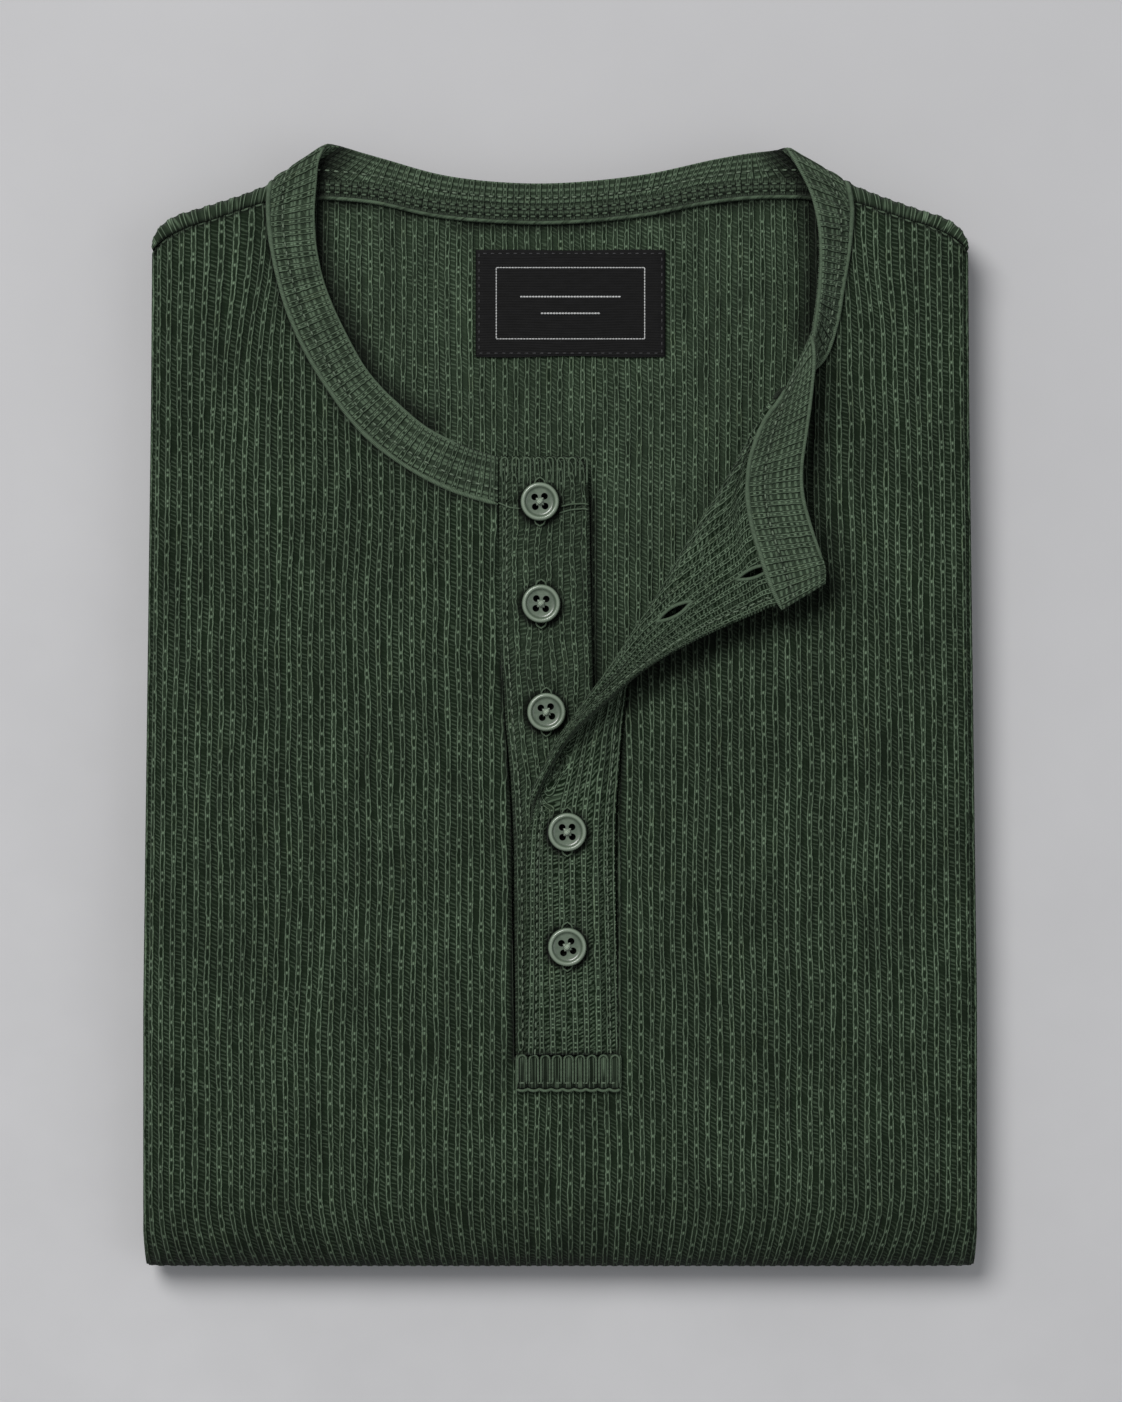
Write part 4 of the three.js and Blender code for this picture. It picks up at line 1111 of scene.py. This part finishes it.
def box_cloth():
    """The patch over the plackets' lower end: arched ribs and a beaded lower edge."""
    cloth = Piece()
    place = np.linspace(0, BOX["ribs"], BOX["ribs"] * 10 + 1)[:, None]
    share, lift, crest = BOX_PROFILE.T
    x = BOX["left"] + (BOX["right"] - BOX["left"]) * place / BOX["ribs"]
    arch = np.abs(np.sin(place * math.pi))
    y = BOX["top"] + (BOX["low"] - BOX["top"]) * share - 0.6 * arch * ease(share, 0.7, 1)
    z = BOX_FACE_Z + (lift + 0.8 * crest * arch ** 0.6) \
        * ease(np.minimum(place, BOX["ribs"] - place), -0.1, 0.25)
    face = points_at(x, y, z)
    along = np.append(share, [1, 0])[None]
    # Painted shade in the valleys between the arched ribs and along the folded top edge, on a patch a
    # little darker all over
    valleys = bell(place, np.round(place), 0.16)
    cloth.tube(on_base(face, BOX_BASE_Z), place, along + 3,
               np.maximum(0.22 + 0.3 * valleys, 0.8 * (1 - ease(along, 0.0, 0.06))))
    return cloth


# Threads and buttons

def cord_rings(line, side, up, radius, corners):
    """Rings round a line, from the directions beside and above it."""
    angle = np.arange(corners)[None, :, None] * 2 * math.pi / corners
    return line[:, None] + radius[:, None, None] * (
        side[:, None] * np.cos(angle) + up[:, None] * np.sin(angle))


def thread(piece, points, radius, arch=0.0, count=6):
    """A length of thread or cord with rounded ends through points."""
    line = spaced(points, count)
    t = np.linspace(0, 1, count + 1)
    line[:, 2] += arch * np.sin(t * math.pi)
    along = unit(np.gradient(line, axis=0))
    side = np.cross(along, [0, 0, 1.0])
    size = np.linalg.norm(side, axis=1)[:, None]
    side = np.where(size > 1e-6, side / np.maximum(size, 1e-6), [1.0, 0, 0])
    thick = radius * np.sqrt(np.clip(1 - (2 * t - 1) ** count, 0.08, 1))
    piece.tube(cord_rings(line, side, np.cross(side, along), thick, 6), 0,
               run_length(line)[:, None])


def running_stitch(piece, line, length=2.1, gap=0.9, radius=0.28, arch=0.12):
    """Stitches in a row along a line in space."""
    line = np.asarray(line, float)
    total = run_length(line)[-1]
    count = max(int(total / (length + gap)), 1)
    pitch = total / count
    for i in range(count):
        at = np.linspace(i * pitch, i * pitch + length * pitch / (length + gap), 4)
        thread(piece, at_length(line, at), radius, arch)


HOLE_PLACE = 1.65
BUTTON_PROFILE = np.array([
    (0.0, 0.0), (4.6, 0.0), (5.6, 0.3), (6.2, 0.9), (6.5, 1.5), (6.5, 2.0), (6.35, 2.5),
    (6.05, 2.85), (5.7, 3.0), (5.35, 2.95), (5.05, 2.7), (4.85, 2.35), (4.6, 2.15),
    (4.1, 2.05), (3.0, 2.08), (1.5, 2.15), (0.0, 2.17),
])


def lathe(name, profile, segments):
    """A round shape from radius and height along its outline."""
    shape = bmesh.new()
    rings = []
    for radius, z in profile:
        turns = [2 * math.pi * i / segments for i in range(segments if radius else 1)]
        rings.append([shape.verts.new((radius * MM * math.cos(turn),
                                       radius * MM * math.sin(turn), z * MM))
                      for turn in turns])
    for a, b in zip(rings, rings[1:]):
        for i in range(segments):
            j = (i + 1) % segments
            corners = [a[i % len(a)], a[j % len(a)], b[j % len(b)], b[i % len(b)]]
            unique = list(dict.fromkeys(corners))
            if len(unique) > 2:
                shape.faces.new(unique)
    bmesh.ops.recalc_face_normals(shape, faces=shape.faces)
    mesh = bpy.data.meshes.new(name)
    shape.to_mesh(mesh)
    shape.free()
    return placed(name, mesh)


def button_mesh():
    """One four-hole button, its holes cut through and its faces smoothed."""
    disc = lathe("button_shape", BUTTON_PROFILE, 96)
    drill = lathe("button_drill", [(0, -1), (1.1, -1), (1.1, 4), (0, 4)], 24)
    cutters = bpy.data.meshes.new("button_holes")
    shape = bmesh.new()
    for x, y in ((1, 1), (1, -1), (-1, 1), (-1, -1)):
        before = len(shape.verts)
        shape.from_mesh(drill.data)
        shape.verts.ensure_lookup_table()
        for vert in shape.verts[before:]:
            vert.co += Vector((x * HOLE_PLACE * MM, y * HOLE_PLACE * MM, 0))
    shape.to_mesh(cutters)
    shape.free()
    holes = placed("button_holes", cutters)
    cut = disc.modifiers.new("holes", "BOOLEAN")
    cut.operation, cut.solver, cut.object = "DIFFERENCE", "EXACT", holes
    bpy.context.view_layer.update()
    mesh = bpy.data.meshes.new_from_object(
        disc.evaluated_get(bpy.context.evaluated_depsgraph_get()))
    for made in (disc, holes, drill):
        bpy.data.objects.remove(made)
    for polygon in mesh.polygons:
        polygon.use_smooth = True
    mesh.set_sharp_from_angle(angle=math.radians(40))
    return mesh


# Radius of each thread on a button, and its points about the button's middle
BUTTON_THREADS = (
    (0.46, [(-1.2, -1.2, 1.4), (-0.8, -0.8, 2.3), (0, 0, 2.75), (0.8, 0.8, 2.3), (1.2, 1.2, 1.4)]),
    (0.46, [(-1.2, 1.2, 1.4), (-0.8, 0.8, 2.3), (0, 0, 2.55), (0.8, -0.8, 2.3), (1.2, -1.2, 1.4)]),
    (0.95, [(-0.8, -0.7, 2.7), (0, 0, 2.95), (0.8, 0.7, 2.7)]),
)
BUTTON_TURNS = [4, -3, 8, 2, 12]


def add_buttons(plastic, cotton):
    """The five buttons, each turned a little, with crossed threads and a knot."""
    shape = button_mesh()
    shape.materials.clear()
    shape.materials.append(plastic)
    for i, ((x, y, seat), turn) in enumerate(zip(BUTTON_PLACES, BUTTON_TURNS)):
        button = placed(f"button_disc_{i + 1}", shape.copy())
        button.location = Vector((x * MM, y * MM, seat * MM)) + Vector(SHIFT)
        button.rotation_euler = (0, 0, math.radians(turn))
        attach(button, "root")
        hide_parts(f"button_{i + 1}")

        sewing = Piece()
        for radius, points in BUTTON_THREADS:
            px, py, pz = np.array(points).T
            px, py = turned(px, py, turn)
            thread(sewing, np.stack([x + px, y + py, seat + pz], 1), radius)
        piece = sewing.make(f"button_thread_{i + 1}", cotton)


# Materials of the pieces

def label_material():
    """Dense black satin with a faint weave."""
    s = Shader("label_satin", Roughness=0.6, Specular_IOR_Level=0.12)
    across, along = s.knit_place()[:2]
    weave = s.wave(across, 0.55)
    grain = s.noise(s.vector(across * 0.9, along * 0.2), 1.0, 3.0)
    shown = s.span(weave + s.wave(along, 0.4) * 0.5, -1.2, 1.4, 0.0, 0.6)
    shown = shown + s.span(grain, 0.3, 0.7, 0.0, 0.4)
    colour = s.mix(shown, linear(4, 4, 4), linear(18, 18, 19))
    return s.finish(colour, Normal=s.bump(weave, 0.00008, 0.5))


def thread_material(name, low, high):
    """Twisted cotton between a darker and a lighter colour."""
    s = Shader(name, Roughness=0.7, Sheen_Weight=0.03, Specular_IOR_Level=0.2)
    twist = s.wave(s.knit_place()[1], 0.45)
    noise = s.noise(s.object_place(), 900.0)
    shown = s.span(twist, -0.8, 0.8, 0.0, 0.6) + s.span(noise, 0.3, 0.7, 0.0, 0.4)
    return s.finish(s.mix(shown, linear(*low), linear(*high)),
                    Normal=s.bump(twist, 0.0001, 0.6))


def button_material():
    """Polished plastic, with a painted highlight on its rim, and painted shade in the dish's corner,
    round its outer edge and in the holes.
    """
    s = Shader("button_plastic", Roughness=0.3, Specular_IOR_Level=0.5, Coat_Weight=0.5,
               Coat_Roughness=0.15)
    place = s.object_place()
    x, y = s.parts(place)[:2]
    broad = s.noise(place, 120.0, 3.0)
    fine = s.noise(place, 900.0, 2.0)

    def away(a, b):
        return s.math("SQRT", a * a + b * b)

    def ring(low, full, fading, gone):
        return s.span(radius, low, full) * s.span(radius, fading, gone, 1.0, 0.0)

    radius = away(x, y)
    hole = away(*(s.math("ABSOLUTE", at) - HOLE_PLACE * MM for at in (x, y)))
    shown = s.span(broad, 0.35, 0.65, 0.0, 0.8) + s.span(fine, 0.3, 0.7, 0.0, 0.2)
    colour = s.mix(shown, linear(76, 90, 75), linear(95, 109, 92))
    # The pale ring on the rim is a painted highlight; the dark ring in the dish's corner, the dark
    # outer edge and the black holes are painted shade
    for share, paint in (
            (ring(0.0048, 0.0056, 0.0060, 0.0065), (116, 130, 113)),
            (ring(0.0041, 0.0046, 0.0046, 0.0051) * 0.6, (58, 70, 57)),
            (s.span(radius, 0.0062, 0.0065, 0.0, 0.7), (52, 64, 52)),
            (s.span(hole, 0.00108, 0.00122, 1.0, 0.0), (3, 4, 3))):
        colour = s.mix(share, colour, linear(*paint))
    return s.finish(colour, Normal=s.bump(broad, 0.0001, 0.15),
                    Roughness=s.span(fine, 0.3, 0.7, 0.26, 0.38))


rib_knit = knit_material("rib_knit")
lining_knit = knit_material("rib_knit_lining", links=4.4, ladder=0.4, fill=0.2, valley=0.12)
inner_knit = knit_material("rib_knit_inside", links=1.9, link_width=0.16, wobble=0.7,
                           ladder=0.6, rungs=0.3, fill=0.2, valley=0.0, bright=1.06, ticks=0.3)
band_knit = knit_material("rib_knit_band", links=2.0, link_width=0.24, wobble=0.9,
                          rungs=0.85, fill=0.52, valley=0.2, bright=0.85, uneven=0.6,
                          stagger=0.0, ticks=0.1)
placket_knit = knit_material("rib_knit_placket", links=3.6, link_width=0.12, wobble=1.6,
                             ladder=0.3, rungs=0.15, fill=0.25, valley=0.1, bright=0.84)
satin = label_material()
seam_cotton = thread_material("seam_thread", (60, 75, 58), (118, 134, 114))
button_cotton = thread_material("button_thread", (112, 126, 110), (160, 174, 156))
loop_cotton = thread_material("loop_cord", (60, 75, 58), (90, 107, 87))
label_cotton = thread_material("label_thread", (48, 48, 50), (86, 86, 88))
woven_white = thread_material("woven_thread", (150, 152, 152), (214, 215, 214))
plastic = button_material()

front = front_cloth().make("front_cloth", rib_knit)
inside = back_cloth().make("back_cloth", lining_knit)
layers = folded_layers().make("layers_cloth", rib_knit)
band = neckband_cloth().make("neckband_cloth", band_knit)
tape = tape_cloth().make("neck_tape_cloth", band_knit)
label = label_cloth().make("label_satin", satin)
under_placket = placket_cloth().make("button_placket_cloth", placket_knit)
flap_piece, flap_shape = flap_cloth()
flap = flap_piece.make("buttonhole_placket_cloth", inner_knit)
patch = box_cloth().make("placket_box_cloth", placket_knit)
add_buttons(plastic, button_cotton)


# Sewing

def flap_face(distance):
    """Line on the flap's upper face where a distance over it is nearest to nothing."""
    pick = np.abs(distance).argmin(1)
    rows = np.arange(len(pick))
    facing = flap_shape.normal[rows, pick]
    lift = (flap_shape.half[rows, pick] + 0.05)[:, None] * np.where(facing[:, 2:] < 0, -1, 1)
    return flap_shape.middle[rows, pick] + facing * lift


def seam_threads():
    """Stitches along the neckband, both plackets and the box."""
    sewing = Piece()
    row = BAND.neck + (BAND.seam - BAND.neck) * (0.69 + 0.07 * BAND.on_flap[:, None])
    row[:, 2] += 0.35 * BAND.on_flap
    running_stitch(sewing, (row + BAND_UP * 1.12)[::3], 1.6, 1.5, 0.34)
    y = np.arange(-114, 83, 2.0)
    left = np.interp(y, PLACKET_EDGES[:, 0], PLACKET_EDGES[:, 1]) + 2.6
    running_stitch(sewing, points_at(left, y, 23.3))
    running_stitch(sewing, flap_face(flap_shape.from_free - 3.3))
    running_stitch(sewing, flap_face(flap_shape.to_seam - 3.0))
    running_stitch(sewing, points_at(np.linspace(BOX["left"] + 0.8, BOX["right"] - 0.8, 40),
                                    -126.1, 25.0))
    return sewing


def seam_piping():
    """Cords on the neckband's seam edge and neck edge, and sunk in the shoulder seams."""
    cord = Piece()
    seam_edge = BAND.neck + BAND.wide + BAND_UP * 0.95
    seam_edge[:, 2] += 0.75 * BAND.on_flap
    flat = np.abs(BAND.normal[:, 2]) > 0.35
    runs = np.split(np.arange(len(flat)), np.nonzero(np.diff(flat.astype(int)))[0] + 1)
    runs = [(seam_edge, run, 0.8) for run in runs if len(run) > 19 and flat[run[0]]
            and (seam_edge[run, 1].min() < 160 or len(run) < 151)]
    neck_edge = BAND.neck + BAND.wide * 0.025 + BAND_UP * 0.62
    for low, high in ((1.2, 10.9), (23.1, 38.6)):
        runs.append((neck_edge, np.nonzero((BAND.row > low) & (BAND.row < high))[0], 0.62))
    for path, run, thick in runs:
        line, up = path[run], BAND_UP[run]
        side = unit(np.cross(unit(np.gradient(line, axis=0)), up))
        from_end = np.minimum(np.arange(len(run)), np.arange(len(run))[::-1])
        size = thick + 0.08 * lattice_noise(BAND.lengths[run] / 5, BAND.lengths[run] * 0, 31)
        size = size * np.sqrt(np.clip(from_end / 4, 0.1, 1))
        cord.tube(cord_rings(line, side, up, size, 10), 0, BAND.lengths[run][:, None])
    for side in (1, -1):
        x, _, z = front_points(np.linspace(98.5, REACH - 9, 60), 155.0, 0.0, 0.0).T
        y = np.interp(x, *SHOULDER_SEAM.T) + 0.3
        thread(cord, np.stack([x * side, y, z - 1.4], 1), 0.5, count=60)
    return cord


def tape_threads():
    """Two rows of stitches along the tape."""
    sewing = Piece()
    for offset in TAPE_SEAMS:
        path = beside_line(tape_line(), offset, 21.0)
        running_stitch(sewing, path[8:-8], 1.7, 1.3, 0.36)
    return sewing


def buttonhole_threads():
    """A smooth corded lip along each side of each buttonhole."""
    sewing = Piece()
    points = flap_shape.middle.reshape(-1, 3)
    above = points[:, 2] > FLAP_FACE_Z
    top = points[:, 2] + np.abs(flap_shape.normal[..., 2] * flap_shape.half).ravel()
    t = np.linspace(-1, 1, 25)
    for x, y, turn in BUTTONHOLES:
        for way in (1, -1):
            along = (HOLE_REACH + 0.9) * t
            off = way * (hole_width(along) + 0.35 * (1 - t ** 2) + 0.12)
            off_x, off_y = turned(along, off, turn)
            z = []
            for a, b in zip(x + off_x, y + off_y):
                away = np.where(above, np.hypot(points[:, 0] - a, points[:, 1] - b), 99)
                z.append(top[away.argmin()])
            z = np.convolve(np.pad(z, 3, "edge"), np.ones(7) / 7, "valid")
            thread(sewing, np.stack([x + off_x, y + off_y, z - 0.05], 1), 0.62, count=24)
    return sewing


def loop_cords():
    """Cords that arch over each rib of the placket's top edge and of the box, the box's
    edges, the threads round the buttons, and the neck seam's ends on the button placket."""
    cords = Piece()

    def arch(x0, x1, low, high, z, radius):
        turn = np.linspace(math.pi, 0, 9)
        half = (x1 - x0) / 2
        x = np.concatenate([[x0], (x0 + x1) / 2 + half * np.cos(turn), [x1]])
        y = np.concatenate([[low], high - half + half * np.sin(turn), [low]])
        thread(cords, points_at(x, y, z), radius, count=26)

    width = (BOX["right"] - BOX["left"]) / BOX["ribs"]
    for i in range(BOX["ribs"]):
        x = BOX["left"] + i * width
        arch(x + 0.5, x + width - 0.5, -126.4, BOX["top"] - 0.3, 25.6, 0.36)
    x = np.linspace(BOX["left"] + 0.2, BOX["right"] - 0.2, 120)
    beads = np.abs(np.sin((x - BOX["left"]) / width * math.pi))
    thread(cords, points_at(x, -128.2 - 0.55 * beads, 24.7 + 0.3 * beads), 0.5, count=120)
    for x in (BOX["left"] + 0.15, BOX["right"] - 0.15):
        thread(cords, [(x, BOX["top"] - 0.4, 24.6), (x, -128.0, 24.6)], 0.42, count=12)

    reach = PLACKET_WIDTH / PLACKET_RIBS
    for i in range(PLACKET_RIBS):
        x = PLACKET_LEFT + i * reach
        arch(x + 0.7, x + reach - 0.75, 77.5 - 2.2 * (i % 3), 84.1, 23.45, 0.3)
    for x, y, seat in BUTTON_PLACES:
        for way in (1, -1):
            bow = np.array([(-1.9, 5.9), (-1.3, 7.4), (0, 8.2), (1.3, 7.4), (1.9, 5.9)])
            thread(cords, points_at(x + bow[:, 0], y + way * bow[:, 1], seat + 0.15), 0.3,
                   count=12)
    for ends in ([(-20.8, 68.9), (-16.9, 67.3), (-13.4, 66.9)],
                 [(0.2, 67.6), (3.4, 68.4), (7.9, 68.6), (9.6, 68.3)],
                 [(-0.4, 65.4), (3.4, 66.5), (7.9, 66.9), (9.7, 66.5)]):
        thread(cords, points_at(*np.transpose(ends), 23.35), 0.28, count=14)
    return cords


def label_frame_stitches(piece, half_x, half_y, z, *stitch):
    """Stitches round a rectangle about the label's middle."""
    corners = [(LABEL["x"] + a * half_x, LABEL["y"] + b * half_y, z)
               for a, b in ((-1, -1), (1, -1), (1, 1), (-1, 1), (-1, -1))]
    for ends in zip(corners, corners[1:]):
        running_stitch(piece, spaced(ends, 20), *stitch)


def label_threads():
    """The stitches that hold the label, just inside its edges."""
    sewing = Piece()
    label_frame_stitches(sewing, LABEL["width"] / 2 - 1.2, LABEL["height"] / 2 - 1.2,
                         LABEL["top"] - 0.05, 1.2, 1.3, 0.16, 0.08)
    return sewing


def label_lines():
    """A plain woven frame and two bars, in place of any wording."""
    woven = Piece()
    z = LABEL["top"] + 0.05
    label_frame_stitches(woven, 25, 12, z, 0.95, 0.05, 0.2, 0.03)
    for half, up in ((17, 2.2), (10, -3.4)):
        ends = [(LABEL["x"] + side * half, LABEL["y"] + up, z) for side in (-1, 1)]
        running_stitch(woven, spaced(ends, 20), 0.95, 0.05, 0.3, 0.03)
    return woven


stitches = seam_threads().make("seam_stitches", seam_cotton)
piping = seam_piping().make("neckband_piping", loop_cotton)
tape_stitches = tape_threads().make("tape_stitches", loop_cotton)
hole_stitches = buttonhole_threads().make("buttonhole_stitches", loop_cotton)
loops = loop_cords().make("placket_cords", loop_cotton)
label_stitches = label_threads().make("label_stitches", label_cotton)
label_frame = label_lines().make("label_frame", woven_white)

# Each piece stands in for a CAD part, which is hidden

for piece, node in (
        (front, "front_panel"), (inside, "back_panel"), (layers, "folded_layers"),
        (band, "neckband"), (tape, "neck_tape"), (label, "neck_label"),
        (under_placket, "button_placket"), (flap, "buttonhole_placket"),
        (patch, "placket_box")):
    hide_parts(node)


# Floor and light

FLOOR_HALF = 3.0


def make_floor():
    """A wide pale floor, mottled, with painted shade that makes it a little darker to the right and
    towards the top.
    """
    mesh = bpy.data.meshes.new("floor")
    mesh.from_pydata([(x * FLOOR_HALF, y * FLOOR_HALF, 0)
                      for x, y in ((-1, -1), (1, -1), (1, 1), (-1, 1))], [], [(0, 1, 2, 3)])
    s = Shader("floor_grey", Roughness=0.9, Specular_IOR_Level=0.2)
    place = s.object_place()
    x, y = s.parts(place)[:2]
    mottled = s.span(s.noise(place, 9.0, 4.0), 0.3, 0.7, 0.0, 0.75) \
        + s.span(s.noise(place, 60.0, 3.0), 0.3, 0.7, 0.0, 0.25)
    shown = (0.6 + mottled * 0.4) * s.span(x, -0.3, 0.3, 1.0, 0.7)
    shown = shown * s.span(y, -0.3, 0.3, 1.0, 0.35)
    mesh.materials.append(s.finish(s.mix(shown, linear(181, 181, 183), linear(199, 199, 201))))
    placed("floor", mesh)


def area_light(name, place, size, power, colour):
    """A round light that faces the middle of the part."""
    data = bpy.data.lights.new(name, "AREA")
    data.shape, data.size, data.energy, data.color = "DISK", size, power, colour
    light = placed(name, data)
    light.location = place
    light.rotation_euler = (-Vector(place)).to_track_quat("-Z", "Y").to_euler()


make_floor()
area_light("key", (-1.0, 1.4, 2.55), 1.5, 76, (1.0, 0.99, 0.975))
area_light("fill", (1.4, -0.2, 1.6), 1.6, 5, (0.97, 0.985, 1.0))
world = bpy.data.worlds.new("studio")
world.use_nodes = True
world.node_tree.nodes["Background"].inputs[0].default_value = (0.96, 0.975, 1.0, 1)
world.node_tree.nodes["Background"].inputs[1].default_value = 0.34
bpy.context.scene.world = world
bpy.context.scene.view_settings.view_transform = "Standard"
bpy.context.scene.view_settings.look = "None"
